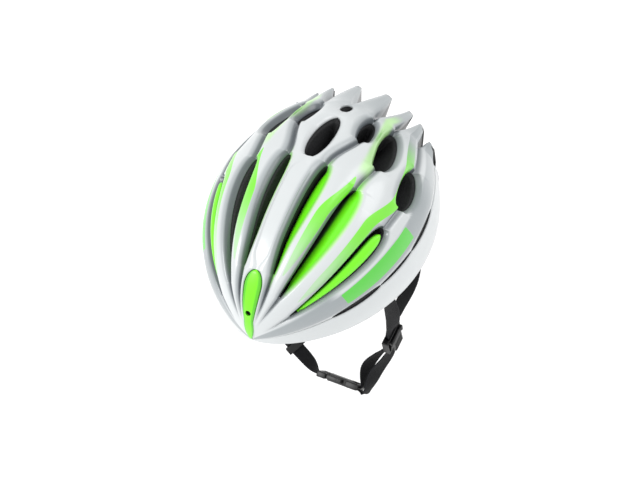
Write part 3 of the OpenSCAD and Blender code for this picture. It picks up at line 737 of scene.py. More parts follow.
def rib_shade(t, f):
    """Painted shade: grey that fades out over the rib beside each flank that faces +X."""
    a = np.abs(f)
    shade = np.zeros_like(a)
    for lane in LANES:
        edge = lane_half(lane, t) + FLANK
        away = np.where(f > 0, lane_mid(lane, t) - edge - a, a - lane_mid(lane, t) - edge)
        shade = np.maximum(shade, (away > -FLANK) * (1 - smooth(0, SHADE_WIDTH, away)))
    return shade * smooth(*SHADE_ON, t)


def skin_paint_and_shade(t, f, flank, facing, depth):
    """Colour of each point: white ribs, black deep down, green paint on the flanks that face -X, and painted
    shade: grey on the flanks that face +X and in the creases, fading out over the rib beside them, and pale grey
    on the sides above the band.
    """
    a = np.abs(f)
    colour = np.broadcast_to(WHITE, t.shape + (3,)).copy()

    def lay(paint, share):
        nonlocal colour
        colour = mix(colour, paint, np.clip(share, 0, 1)[..., None])

    # Painted shade: pale grey on the sides above the band, partly fading towards the rear.
    side = window(*SIDE_SHADE_F, a) * (1 - smooth(*SIDE_SHADE_FADE_T, t) * 0.4)
    side_front = window(*SIDE_FRONT_SHADE_F, a) * (1 - smooth(*SIDE_FRONT_SHADE_FADE_T, t))
    lay(PALE_GREY, np.maximum(side, side_front) * 0.9)
    # Painted shade in the creases: dark grey on the flanks that face +X, pale grey on those that face -X where
    # they are not green.
    crease_shade = smooth(0.1, 0.6, flank) * smooth(*SHADE_ON, t)
    green = window(GREEN_ON, GREEN_OFF, t) * (a < LANE_C_START)
    # Painted shade spreading from those flanks over the rib beside them.
    lay(PALE_GREY, rib_shade(t, f) * 0.75)
    lay(PALE_GREY, smooth(*GREY_TAIL_T, t) * 0.8)
    lay(FLANK_SHADE_GREY, crease_shade * (facing > 0))
    lay(PALE_GREY, crease_shade * (facing < 0) * (1 - green) * 0.8)
    wall_green = (facing < 0) * green
    lay(PALE_GREEN, smooth(0.0, 0.55, flank) * wall_green)
    lay(GREEN, smooth(0.45, 1.0, flank) * wall_green)
    lay(PALE_GREEN, window(*REAR_TINT_F, a) * window(*REAR_TINT_T, t) * 0.75)
    lay(GREEN, smooth(0, 0.05, depth) * wall_green)
    black_from = mix(0.02, np.where(a < LANE_B_START, 0.62, 0.46), wall_green)
    lay(BLACK, smooth(black_from, black_from + 0.05, depth))
    return colour


# ---- The skin ----
LIP_STEPS = (0.015, 0.035, 0.06)
WALL_STEPS = (*LIP_STEPS, 0.1, 0.18, 0.28, 0.38, 0.5, 0.62, 0.74, 0.84, 0.92)
SKIN_T = 1.2


def grid_fields():
    """t, f, how far down a flank and which way it faces, for every point of one half."""
    t_rows, f_rows = list(MAIN_T), list(fan_out(control_f(MAIN_T)))
    last = f_rows[-1]
    t_rows += [LAST_T + FIN_SPAN_T * v for v in FIN_V]
    t_rows += [BOWL_T] * (ROWS - len(t_rows))
    f_rows += [last] * (ROWS - len(f_rows))
    flank, facing = np.zeros(COLS.count), np.zeros(COLS.count)
    for n in range(COLS.count):
        name, v = CONTROLS[COLS.stretch[n]], COLS.part[n]
        if name.endswith("_top_in"):
            flank[n], facing[n] = v, 1
        elif name[1:] == "_in":
            flank[n], facing[n] = 1, 1 if v < 0.5 else -1
        elif name[1:] == "_out":
            flank[n], facing[n] = 1 - v, -1
    t = np.repeat(np.array(t_rows)[:, None], COLS.count, 1)
    return t, np.array(f_rows), np.tile(flank, (ROWS, 1)), np.tile(facing, (ROWS, 1))


# t and how far down a flank are the same on both sides; f and the way a flank faces change sign.
GRID_T, GRID_F, GRID_FLANK, GRID_FACING = map(both_sides, grid_fields(), (1, -1, 1, -1))
BED_DEPTH, BED_WIDEN = -1.7, 0.7
# The same grid three times: on the skin's outside, on the foam under it and on the head cavity.
TOP = both_sides(shell_half(0), MIRROR)
BED = both_sides(shell_half(BED_DEPTH, BED_WIDEN), MIRROR)
INNER = both_sides(liner_half(), MIRROR)
SHALLOW_DROP = 6.0       # how far below the channel the green walls run before they turn down
SHALLOW_LEAN = 0.9       # how far the ramp leans to the centre, as a share of the throat's lean


def wall_controls():
    """The middle control points of the vent walls: straight, but a shallow ramp under the green walls."""
    ramp = shell_half(0)
    drop = channel_drop(MAIN_T) - SHALLOW_DROP
    rows = len(MAIN_T)
    weight = np.zeros((ROWS, COLS.count))
    for lane, letter, (inner_edge, outer_edge) in lane_columns()[:2]:
        spot = lane_mid(lane, MAIN_T) - SHALLOW_LEAN * THROAT_SHIFT[letter] * lane_half(lane, MAIN_T)
        first, last = COLS.first[inner_edge], COLS.first[outer_edge]
        for c in range((first + last) // 2, last + 1):
            ramp[:rows, c] = outer(MAIN_T, spot, drop)
            weight[:rows, c] = window(GREEN_ON, GREEN_OFF, MAIN_T)
    weight = both_sides(weight) * (GRID_F > 0)
    return mix(mix(TOP, INNER, 0.5), both_sides(ramp, MIRROR), weight[..., None])


BEND = wall_controls()


def wall_point(c, u):
    """A point on the wall under grid point c: on the skin at u = 0 and on the head cavity at u = 1."""
    return (1 - u) ** 2 * TOP[c] + 2 * u * (1 - u) * BEND[c] + u * u * INNER[c]


class Shape:
    """Points, faces and fields gathered cell by cell."""

    def __init__(self):
        self.points, self.faces, self.rows = [], [], []
        self.seen = {}

    def point(self, key, where, fields):
        if key not in self.seen:
            self.seen[key] = len(self.points)
            self.points.append(where)
            self.rows.append(fields)
        return self.seen[key]


def cell_corners(i, j):
    return [(i, j), (i, j + 1), (i + 1, j + 1), (i + 1, j)]


def border_edges(kept, gone):
    """Edges of kept cells beside gone ones, as (a, b, facing) in the kept cell's order."""
    rows, cols = kept.shape
    found = []
    around = (((-1, 0), 0), ((0, 1), 1), ((1, 0), 2), ((0, -1), 3))
    for i, j in np.argwhere(kept):
        corners = cell_corners(i, j)
        for (di, dj), side in around:
            y, x = i + di, j + dj
            outside = not (0 <= y < rows and 0 <= x < cols)
            if (outside and gone is None) or (not outside and gone is not None and gone[y, x]):
                found.append((corners[side], corners[(side + 1) % 4], dj))
    return found


def wall_steps(a, b, facing):
    """Depths of the painted wall: down to the throat where it is green, else only round the lip."""
    t, f = GRID_T[a], abs(GRID_F[a])
    green = GRID_FACING[a] < 0 and facing != 0 and f < LANE_C_START and GREEN_ON[0] <= t <= GREEN_OFF[1]
    return WALL_STEPS if green and abs(a[0] - b[0]) == 1 else LIP_STEPS


def skin_shape(kept):
    """The outer surface of the kept cells, and the painted walls down into the vents beside them."""
    s = Shape()
    for i, j in np.argwhere(kept):
        s.faces.append([s.point(c, TOP[c], (*c, 0.0, 0)) for c in cell_corners(i, j)])
    pole = s.point("pole", outer(0.0, 0.0), (0, TOP.shape[1] // 2, 0.0, 0))
    for j in np.flatnonzero(kept[0]):
        s.faces.append([pole, s.seen[(0, j + 1)], s.seen[(0, j)]])
    for a, b, facing in border_edges(kept, OPEN):
        previous = [s.seen[b], s.seen[a]]
        for depth in wall_steps(a, b, facing):
            line = []
            for c in (b, a):
                line.append(s.point((*c, depth), wall_point(c, depth), (*c, depth, facing)))
            s.faces.append([previous[0], previous[1], line[1], line[0]])
            previous = line
    return s


def skin_piece(name, kept, *nodes):
    s = skin_shape(kept)
    rows = np.array([r[:2] for r in s.rows], int)
    depth = np.array([r[2] for r in s.rows], float)
    wall = np.array([r[3] for r in s.rows], float)
    at = (rows[:, 0], rows[:, 1])
    facing = np.where(depth > 0, wall, GRID_FACING[at])
    t, f = GRID_T[at], GRID_F[at]
    colour = skin_paint_and_shade(t, f, GRID_FLANK[at], facing, depth)
    under = (t == BOWL_T) & (np.abs(f) < BAND_F)
    colour[under] = BLACK
    stripe, patch, fade, share = stripe_fields(t, f)
    off = (depth > 0) | under | (np.abs(f) > BAND_F)
    stripe = np.where(off, -1, stripe)
    patch = np.where(off, -1, patch)
    fields = dict(stripe=stripe, patch=patch, stripe_fade=fade, stripe_share=share, depth=depth)
    obj = mesh_object(name, s.points, s.faces, MATERIALS["shell_white"], fields, dict(paint=colour))
    thicken(obj, SKIN_T)
    return place(obj, "helmet", "shell_white", *nodes)


skin_piece("upper_skin", UPPER, "upper_shell")
skin_piece("lower_skin", LOWER, "lower_shell")


# ---- The liner ----
FIRST_STEP = 0.04
LINER_STEPS = (0.2, 0.4, 0.6, 0.8, 0.96)


def liner_piece():
    """The foam: its outer and inner faces, and the walls of every vent below what the skin covers."""
    s = Shape()
    solid = ~OPEN
    for i, j in np.argwhere(solid):
        corners = cell_corners(i, j)
        s.faces.append([s.point((0, *c), BED[c], ()) for c in corners])
        s.faces.append([s.point((1, *c), INNER[c], ()) for c in reversed(corners)])
    for gone in (OPEN, None):
        for a, b, facing in border_edges(solid, gone):
            previous = [s.seen[(0, *b)], s.seen[(0, *a)]]
            reach = wall_steps(a, b, facing)[-1] if gone is not None else 1.0
            for u in (FIRST_STEP, reach + 0.005, *LINER_STEPS):
                if u > 0.99 or (u in LINER_STEPS and u < reach + 0.02):
                    continue
                if u > reach:
                    line = [s.point((2, u, *c), wall_point(c, u), ()) for c in (b, a)]
                else:
                    line = [s.point((3, u, *c), mix(BED[c], INNER[c], u), ()) for c in (b, a)]
                s.faces.append([previous[0], previous[1], line[1], line[0]])
                previous = line
            s.faces.append([previous[0], previous[1], s.seen[(1, *a)], s.seen[(1, *b)]])
    obj = mesh_object("foam_liner", s.points, s.faces, MATERIALS["foam_black"])
    return place(obj, "helmet", "foam_black", "eps_liner")


liner_piece()

# ---- Brow badge and vent inlays ----
BADGE_LIFT, BADGE_THICK = 1.0, 1.6
BADGE_NOSE_T = 1.0
BADGE_INSET = 0.5                        # gap between the badge and the skin round it
BADGE_EDGE, BADGE_END = 0.14, 1.6        # how much of its half width, and how much t, the rounded rim takes
BADGE_SINK, BADGE_CROWN = 0.3, 0.5
NOSE_SPREAD, NOSE_END_T = 24.0, 17.0     # the badge keeps its width as the surface narrows to the nose
SOCKET_T, SOCKET_R, SOCKET_TILT = 20.0, 2.8, 62.0


def grid_quads(count, width):
    """Faces between rows of points: count rows of width points each."""
    return [[i * width + j, i * width + j + 1, (i + 1) * width + j + 1, (i + 1) * width + j]
        for i in range(count - 1) for j in range(width - 1)]


def plate(name, rows, thickness, middle):
    """A green plate from rows of points, thickened below."""
    faces = grid_quads(*rows.shape[:2])
    obj = mesh_object(name, rows.reshape(-1, 3), faces, MATERIALS["accent_green"], dict(middle=middle.ravel()))
    thicken(obj, thickness)
    return obj


def brow_badge():
    t = np.linspace(BADGE_NOSE_T, BADGE_T[1] - 0.05, 70)
    w = np.linspace(-1, 1, 33)
    half = np.maximum(badge_half(t) - BADGE_INSET, 0.2) + NOSE_SPREAD * (1 - smooth(BADGE_NOSE_T, NOSE_END_T, t))
    edge = np.clip((1 - np.abs(w)) / BADGE_EDGE, 0, 1)
    ends = np.clip(np.minimum(t - t[0], t[-1] - t) / BADGE_END, 0, 1)
    round_edge = np.sqrt(1 - (1 - np.minimum(edge[None], ends[:, None])) ** 2)
    lift = BADGE_LIFT * round_edge - BADGE_SINK + BADGE_CROWN * (1 - w[None] ** 2)
    points = outer(t[:, None], half[:, None] * w[None], lift)
    # Painted shade: the badge's colour darkens from its middle towards its rounded rim.
    middle = np.broadcast_to(1 - smooth(0.35, 0.8, np.abs(w)), lift.shape)
    obj = plate("brow_badge_green", points, BADGE_THICK, middle)
    tool = bpy.data.meshes.new("socket_tool")
    made = bmesh.new()
    bmesh.ops.create_cone(made, cap_ends=True, segments=40, radius1=SOCKET_R * MM, radius2=SOCKET_R * MM,
        depth=12 * MM)
    made.to_mesh(tool)
    made.free()
    cutter = add_object("socket_tool", tool)
    tilt = Matrix.Rotation(math.radians(SOCKET_TILT), 4, "X")
    cutter.matrix_world = Matrix.Translation(Vector(outer(SOCKET_T, 0.0)) * MM) @ tilt
    mod = obj.modifiers.new("socket", "BOOLEAN")
    mod.operation, mod.object, mod.solver = "DIFFERENCE", cutter, "EXACT"
    apply_modifiers(obj)
    bpy.data.objects.remove(cutter)
    keep_sharp(obj, 40)
    place(obj, "helmet", "accent_green", "brow_badge")


INLAY_T, INLAY_THICK = (34.5, 79.0), 4.5
INLAY_SIDE, INLAY_CROWN = -3.0, -0.6     # height of the panel's edges and middle against the rib tops
INLAY_FILL = 0.66                        # its width as a share of the vent's
INLAY_ROUND = 0.1                        # share of its length that the round end takes
INLAY_RIM, INLAY_RIM_DROP = 0.2, 1.8     # share of its half width that turns down, and how far
INLAY_SHIFT = 0.35


def vent_inlay(side, name):
    lane = LANES[2]
    u = np.linspace(0, 1, 90)
    t = mix(INLAY_T[0], INLAY_T[1], u)
    w = np.linspace(-1, 1, 25)
    past = ((u - (1 - INLAY_ROUND)) / INLAY_ROUND).clip(0)
    round_end = np.sqrt(np.clip(1 - past**2, 0.0004, 1))
    half = lane_half(lane, t) * INLAY_FILL * round_end * smooth(-0.05, 0.12, u) + 0.05
    rim = np.clip((1 - np.abs(w)) / INLAY_RIM, 0, 1)[None] * np.clip((1 - u) / 0.04, 0, 1)[:, None]
    drop = INLAY_RIM_DROP * (1 - np.sqrt(1 - (1 - rim) ** 2))
    lift = INLAY_SIDE + (INLAY_CROWN - INLAY_SIDE) * (1 - w[None] ** 2) * (0.4 + 0.6 * u[:, None]) - drop
    f = lane_mid(lane, t)[:, None] + half[:, None] * w[None] - INLAY_SHIFT
    points = outer(t[:, None], f, lift)
    if side == RIGHT:
        points = points[:, ::-1].copy()
        points[..., 0] *= -1
    # Painted shade: the panel's colour darkens from its middle towards its turned-down rim.
    middle = np.broadcast_to(1 - smooth(0.6, 1.0, np.abs(w)), lift.shape)
    obj = plate(name, points, INLAY_THICK, middle)
    place(obj, "helmet", "accent_green", "vent_inlay_left" if side == LEFT else "vent_inlay_right")


brow_badge()
vent_inlay(LEFT, "inlay_panel_left")
vent_inlay(RIGHT, "inlay_panel_right")

# ---- Pads ----
PAD_GAP, PAD_DEPTH = 1.1, 6.0
PAD_EDGE = 0.26                        # thickness at the bound edge, as a share of the middle's
SEAM_SINK, SEAM_WIDE = 0.45, 0.012     # depth and width of a stitched seam, as shares of the pad
QUILT = 0.035


def pad_surface(kind, a, b, depth):
    if kind == "ring":
        azimuth, level = rad(a), rad(b)
        out = np.cos(level)
        return cavity_at(out * np.sin(azimuth), -out * np.cos(azimuth), np.sin(level), depth)
    return cavity(a, b, depth)


def pad(name, kind, a_span, b_span, seams, corner, side=LEFT, *nodes):
    """A soft pad on the cavity's wall: crowned between a bound edge and its stitched seams."""
    count_a, count_b = 120, 40
    u, v = np.linspace(0, 1, count_a)[:, None], np.linspace(0, 1, count_b)[None]
    u = 0.5 - 0.5 * np.cos(np.pi * u)
    v = 0.5 - 0.5 * np.cos(np.pi * v)
    past = np.clip((np.abs(2 * u - 1) - (1 - corner)) / corner, 0, 1)
    narrow = 0.25 + 0.75 * np.sqrt(1 - past**2)
    a = mix(a_span[0], a_span[1], u) + 0 * v
    b = mix(b_span[0], b_span[1], 0.5 + (v - 0.5) * narrow)
    shape_u = (1 - np.abs(2 * u - 1) ** 10) ** 0.5
    shape_v = (1 - np.abs(2 * v - 1) ** 3.2) ** 0.5
    puff = shape_u * shape_v
    for seam in seams:
        puff = puff * (1 - SEAM_SINK * np.exp(-(((u - seam) / SEAM_WIDE) ** 2)))
    quilt = QUILT * np.sin(np.pi * 7 * v) * np.sin(np.pi * 22 * u) * puff
    depth = PAD_GAP + (PAD_DEPTH - PAD_GAP) * (PAD_EDGE + (1 - PAD_EDGE) * puff + quilt)
    front = pad_surface(kind, a, b, depth)
    back = pad_surface(kind, a, b, np.full_like(depth, PAD_GAP))
    flip = -1 if side == RIGHT else 1
    points = np.concatenate([front.reshape(-1, 3), back.reshape(-1, 3)]) * (flip, 1, 1)
    total = count_a * count_b
    faces = []
    for q in grid_quads(count_a, count_b):
        faces += [q[::-1], [k + total for k in q]]
    ring = [(i, 0) for i in range(count_a)]
    ring += [(count_a - 1, j) for j in range(1, count_b)]
    ring += [(i, count_b - 1) for i in range(count_a - 2, -1, -1)]
    ring += [(0, j) for j in range(count_b - 2, 0, -1)]
    index = [i * count_b + j for i, j in ring]
    for p, q in zip(index, index[1:] + index[:1]):
        faces.append([p, q, q + total, p + total])
    if side == RIGHT:
        faces = [f[::-1] for f in faces]
    edge = np.concatenate([puff.ravel(), np.zeros(total)])
    obj = mesh_object(name, points, faces, MATERIALS["pad_fabric"], dict(edge=edge))
    return place(obj, "helmet", "pad_fabric", *nodes)


pad("brow_cushion", "ring", (-52, 52), (6, 22), (0.25, 0.5, 0.75), 0.1, LEFT, "brow_pad")
for side_name, side in SIDES:
    for kind, t_span, f_span in (("crown", (58, 122), (11, 21)), ("side", (58, 114), (38, 48))):
        name, node = kind + "_cushion_" + side_name, kind + "_pad_" + side_name
        pad(name, "arch", t_span, f_span, (0.5,), 0.12, side, node)


# ---- Ribbons: head band and webbing ----
def spline(values, steps):
    """A smooth run through the given points."""
    p = np.asarray(values, float)
    p = np.concatenate([[2 * p[0] - p[1]], p, [2 * p[-1] - p[-2]]])
    out = []
    for k in range(1, len(p) - 2):
        for v in np.arange(steps) / steps:
            a, b, c, d = p[k - 1], p[k], p[k + 1], p[k + 2]
            out.append(0.5 * (2 * b + (c - a) * v + (2 * a - 5 * b + 4 * c - d) * v**2
                + (3 * b - a - 3 * c + d) * v**3))
    return np.array(out + [p[-2]])


def rounded_profile(width, thick, across_steps=14, round_steps=4):
    """The outline of a flat strip with round edges, as (across, through)."""
    r = thick / 2
    flat = width / 2 - r
    outline = []
    for side in (1, -1):
        turn = np.linspace(side * math.pi / 2, (side - 2) * math.pi / 2, round_steps + 2)[1:-1]
        outline += [(x, side * r) for x in np.linspace(-side * flat, side * flat, across_steps)]
        outline += [(side * flat + r * math.cos(a), r * math.sin(a)) for a in turn]
    return np.array(outline)


def ribbon(name, stations, width, thick, slot_name, steps=22):
    """A strip along stations, each (middle, width direction), in millimetres."""
    mid = spline([s[0] for s in stations], steps)
    wide = spline([s[1] for s in stations], steps)
    along = np.gradient(mid, axis=0)
    along /= np.linalg.norm(along, axis=1, keepdims=True)
    wide = wide - along * np.sum(wide * along, 1, keepdims=True)
    wide /= np.linalg.norm(wide, axis=1, keepdims=True)
    through = np.cross(along, wide)
    run = np.concatenate([[0], np.cumsum(np.linalg.norm(np.diff(mid, axis=0), axis=1))])
    profile = rounded_profile(width, thick)
    size = len(profile)
    points = mid[:, None] + wide[:, None] * profile[None, :, :1] + through[:, None] * profile[None, :, 1:]
    faces = [[i * size + k, i * size + (k + 1) % size, (i + 1) * size + (k + 1) % size, (i + 1) * size + k]
        for i in range(len(mid) - 1) for k in range(size)]
    faces += [list(range(size))[::-1], [(len(mid) - 1) * size + k for k in range(size)]]
    fields = dict(along=np.repeat(run, size), across=np.tile(profile[:, 0], len(mid)))
    obj = mesh_object(name, points.reshape(-1, 3), faces, MATERIALS[slot_name], fields)
    return obj


def mirror_stations(stations, side):
    return [((p[0] * side, p[1], p[2]), (w[0] * side, w[1], w[2])) for p, w in stations]


BAND_W, BAND_T = 11.0, 1.6
# The left band arm's way from the rack to the temple.
ROUTE = (
    (33, 66, -38.6), (44, 63.5, -38.4), (55, 56, -37),
    (64, 43, -33), (70, 25, -28), (72.5, 5, -21),
    (72.5, -16, -13), (70.5, -34, -5), (67.5, -48, 2),
)
CRADLE = (0.0, 66.0, -44.0)
UPRIGHT = (0.0, 0.0, 1.0)
HEADBAND_W, HEADBAND_DEPTH = 10.5, 7.1
HEADBAND_LEVELS = (10.5, 14.0)      # angles up from the cavity's middle: of the band, and of a point above it
HANGER_W, HANGER_T = 14.0, 2.0


def band_arm(side, side_name):
    low = [2 * (CRADLE[2] - p[2]) if side == RIGHT and p[0] < 50 else 0 for p in ROUTE]
    stations = [((p[0] * side, p[1], p[2] + d), UPRIGHT) for p, d in zip(ROUTE, low)]
    obj = ribbon("band_strip_" + side_name, stations, BAND_W, BAND_T, "band_nylon")
    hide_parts("band_arm_" + side_name)
    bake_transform(obj)


def headband():
    a = np.linspace(-66, 66, 45)
    spots, upper = (pad_surface("ring", a, level + 0 * a, HEADBAND_DEPTH + 0 * a) for level in HEADBAND_LEVELS)
    stations = list(zip(spots, upper - spots))
    obj = ribbon("headband_strip", stations, HEADBAND_W, BAND_T, "band_nylon", steps=4)
    place(obj, "helmet", "band_nylon", "headband_front")


for side_name, side in SIDES:
    band_arm(side, side_name)
headband()
HANGER = [((0, *yz), (1, 0, 0)) for yz in ((66.4, -30.4), (71, -14), (73.5, 4))]
hanger = ribbon("hanger_strip", HANGER, HANGER_W, HANGER_T, "band_nylon")
place(hanger, "helmet", "band_nylon", "cradle_hanger")

# ---- Harness webbing ----
WEB_W, WEB_T = 15.0, 1.6
FORE_AFT = (0.0, 1.0, 0.0)
DIVIDER = np.array((75.0, -37.0, -120.0))
LAYER = 1.4
FRONT_EXIT, REAR_START = (88, -47, 1), (78.5, 40.5, -12.5)
BUCKLE = np.array((21.0, -70.0, -200.0))
BUCKLE_ROLL = math.radians(-63)
ROLL_C, ROLL_S = math.cos(BUCKLE_ROLL), math.sin(BUCKLE_ROLL)
ROLL_W = np.array((0.0, ROLL_C, ROLL_S))


def at_buckle(x, y=0.0, z=0.0):
    return BUCKLE + (x, y * ROLL_C - z * ROLL_S, y * ROLL_S + z * ROLL_C)


def outboard(x):
    """Where a chin strap's layer leaves the divider."""
    return DIVIDER + (x, -1, -12.5)


# Each run is a list of stations: where the strap's middle is, and which way its width lies.
FRONT_RUN = (
    (FRONT_EXIT, FORE_AFT),
    ((88, -45, -25), (0.3, 0.95, 0)),
    ((86, -42, -60), (0.7, 0.7, 0)),
    ((81, -40, -90), (0.5, 0.87, 0)),
    (DIVIDER + (LAYER, -1, 12), FORE_AFT),
    (DIVIDER + (LAYER, -1, -13), FORE_AFT),
)
REAR_RUN = (
    (REAR_START, FORE_AFT),
    ((84, 27, -34), (0.4, 0.9, 0)),
    ((86, 3, -62), (0.75, 0.65, -0.1)),
    ((78, -21, -90), (0.5, 0.85, 0.1)),
    (DIVIDER + (-LAYER, 1, 15), FORE_AFT),
    (DIVIDER + (-LAYER, 1, -13), FORE_AFT),
)
CHIN_LEFT = (
    (outboard(LAYER), FORE_AFT),
    ((71, -46, -150), (0.6, 0.8, 0)),
    ((59, -57, -176), (0.75, 0.6, -0.2)),
    (at_buckle(29.5, 0, -2.8), ROLL_W),
    (at_buckle(19.4, 0, -1.0), ROLL_W),
)
LOOP_LEFT = (
    (outboard(-LAYER), FORE_AFT),
    ((61, -43, -152), (0.6, 0.8, 0)),
    ((48, -53, -175), (0.75, 0.6, -0.2)),
    (at_buckle(25.4, 0, 3.4), ROLL_W),
    (at_buckle(18.6, 0, 0.9), ROLL_W),
)
RIGHT_W, SLANT_W = (-0.45, -0.85, -0.1), (-0.45, -0.85, -0.2)
BLEND_FROM, BLEND_TO = (-66, -46, -154), (-20, -64, -192)
CHIN_RIGHT = (
    (outboard(LAYER) * MIRROR, (0, -1, 0)),
    (BLEND_FROM, RIGHT_W),
    ((-44, -55, -176), SLANT_W),
    (BLEND_TO, (-0.3, -0.9, 0.2)),
    (at_buckle(-27.9), -ROLL_W),
    (at_buckle(-20.6), -ROLL_W),
)
LOOP_RIGHT = (
    (outboard(-LAYER) * MIRROR, (0, -1, 0)),
    ((-63.4, -47.4, -150), RIGHT_W),
    ((-43, -56, -172.6), SLANT_W),
    ((-36.1, -58.4, -179.4), SLANT_W),
)
# The free tail lies TAIL_GAP outside the right chin strap, along its run.
TAIL_W = np.array(SLANT_W)
TAIL_RUN = np.array((24.0, -9.0, -16.0)) / np.linalg.norm((24, -9, -16))
TAIL_N = np.cross(TAIL_RUN, TAIL_W) / np.linalg.norm(np.cross(TAIL_RUN, TAIL_W))
TAIL_N = TAIL_N if TAIL_N[2] < 0 else -TAIL_N
TAIL_GAP = 3.3


def beside_chin(*spots):
    return [(np.array(p) + TAIL_N * TAIL_GAP, TAIL_W) for p in spots]


TAIL = beside_chin((-28, -61, -186.7), (-44, -55, -176), (-55, -50.5, -165))
CAP, CAP_T = beside_chin((-56.4, -49.9, -163.6), (-61, -48, -159)), 2.6


def webbing(name, stations, node, width=WEB_W):
    return place(ribbon(name, stations, width, WEB_T, "webbing"), "helmet", "webbing", node)


for side_name, side in SIDES:
    for kind, run in (("front", FRONT_RUN), ("rear", REAR_RUN)):
        webbing(f"{kind}_strap_{side_name}", mirror_stations(run, side), f"{kind}_webbing_{side_name}")
webbing("chin_strap_left", CHIN_LEFT, "chin_webbing_left")
webbing("chin_under_left", LOOP_LEFT, "chin_loop_left")
webbing("chin_under_right", LOOP_RIGHT, "chin_loop_right")
webbing("chin_tail", TAIL, "strap_end_tail", WEB_W - 2)
tail_cap = ribbon("tail_cap", CAP, WEB_W - 1, CAP_T, "hardware_black")
place(tail_cap, "helmet", "hardware_black", "strap_end_cap")
chin_right = ribbon("chin_strap_right", CHIN_RIGHT, WEB_W, WEB_T, "webbing")
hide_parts("chin_webbing_right")
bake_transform(chin_right)


# ---- Hardware ----
class Block:
    """A moulded part gathered from rounded boxes and cylinders, in its own frame, in millimetres."""

    def __init__(self, name, place_matrix):
        self.name, self.matrix = name, place_matrix
        self.shape = bmesh.new()

    def take(self, made):
        mesh = bpy.data.meshes.new("part")
        made.to_mesh(mesh)
        made.free()
        self.shape.from_mesh(mesh)
        bpy.data.meshes.remove(mesh)
        return self

    def box(self, at, size, round_by=0.6, turn=None):
        made = bmesh.new()
        bmesh.ops.create_cube(made, size=1)
        bmesh.ops.scale(made, vec=size, verts=made.verts)
        bmesh.ops.bevel(made, geom=made.edges[:], offset=min(round_by, min(size) * 0.45), segments=3,
            affect="EDGES", profile=0.5)
        where = Matrix.Translation(at) @ (turn or Matrix.Identity(4))
        bmesh.ops.transform(made, matrix=where, verts=made.verts)
        return self.take(made)

    def rod(self, at, radius, length, axis="Z", round_by=0.3, sides=40):
        made = bmesh.new()
        bmesh.ops.create_cone(made, cap_ends=True, segments=sides, radius1=radius, radius2=radius, depth=length)
        rims = [e for e in made.edges if abs(e.verts[0].co.z - e.verts[1].co.z) < 1e-6]
        bmesh.ops.bevel(made, geom=rims, offset=round_by, segments=2, affect="EDGES", profile=0.5)
        turn = Matrix.Rotation(math.pi / 2, 4, "X") if axis == "Y" else Matrix.Identity(4)
        bmesh.ops.transform(made, matrix=Matrix.Translation(at) @ turn, verts=made.verts)
        return self.take(made)

    def done(self, body, slot_name, *nodes):
        mesh = bpy.data.meshes.new(self.name)
        self.shape.to_mesh(mesh)
        self.shape.free()
        mesh.transform(Matrix.Scale(MM, 4) @ self.matrix)
        mesh.materials.append(MATERIALS[slot_name])
        mesh.polygons.foreach_set("use_smooth", [True] * len(mesh.polygons))
        obj = keep_sharp(add_object(self.name, mesh), 50)
        return place(obj, body, slot_name, *nodes)


def frame_matrix(x, y, z, at):
    return Matrix([*zip(x, y, z, at), (0, 0, 0, 1)])


def flip(block, side):
    """Keeps the faces pointing outwards when a part is mirrored."""
    if side == RIGHT:
        bmesh.ops.reverse_faces(block.shape, faces=block.shape.faces[:])


# Divider: a two-piece frame that the two straps pass through, with a cam lever on its outer face.
DIVIDER_SIZE = (7.0, 30.0, 20.0)
SLOT_X, SLOT_Y = 5.0, 18.0
CAM_W, EAR_T = 18.0, 3.0
HINGE = (2.0, 6.0)       # the cam's axis: out from the body's face, and up from its middle


def divider(side, side_name):
    size_x, size_y, size_z = DIVIDER_SIZE
    x_half, y_half = size_x / 2, size_y / 2
    base = Matrix.Diagonal((side, 1, 1, 1)) @ Matrix.Translation(DIVIDER)
    b = Block("divider_body_" + side_name, base)
    cheek = x_half - SLOT_X / 2
    for s in (-1, 1):
        # Cheek, end block, the cam's ear, and the two snap joints of the halves.
        b.box((s * (x_half - cheek / 2), 0, 0), (cheek, size_y, size_z), 0.45)
        b.box((0, s * (y_half + SLOT_Y / 2) / 2, 0), (size_x, y_half - SLOT_Y / 2, size_z), 1.3)
        b.box((x_half + HINGE[0], s * (CAM_W / 2 + EAR_T / 2 + 0.4), HINGE[1]), (5, EAR_T, 8), 1.0)
        for z in (-size_z / 2 + 2.5, size_z / 2 - 2.5):
            b.box((0, s * (y_half - 2), z), (size_x + 0.6, 3.4, 2.2), 0.5)
    flip(b, side)
    b.done("helmet", "hardware_black", "divider_" + side_name)
    c = Block("cam_" + side_name, base @ Matrix.Translation((x_half + HINGE[0], 0, HINGE[1])))
    # The cam's barrel, the lever, its grip ridges and the lip at its end.
    c.rod((0, 0, 0), 1.95, CAM_W, "Y", 0.3)
    c.box((0.6, 0, -8.5), (2.4, CAM_W, 17), 0.7)
    for k in range(5):
        c.box((1.9, 0, -6.5 - 2 * k), (0.6, CAM_W - 4, 0.9), 0.25)
    c.box((1.5, 0, -16.6), (2.2, CAM_W - 2, 1.6), 0.6)
    flip(c, side)
    c.done("cam_" + side_name, "hardware_black", "cam_lever_" + side_name)


for side_name, side in SIDES:
    divider(side, side_name)

# Buckle: x runs along the strap, y across it and z through it.
BUCKLE_FRAME = Matrix.Translation(BUCKLE) @ Matrix.Rotation(BUCKLE_ROLL, 4, "X")
LATCH_X, LATCH_Y = -14.0, 9.6       # where a latch arm bends
TUBE_L, TUBE_WALL = 24.0, 1.5
PLUG_W, PLUG_H = 23.8, 6.8


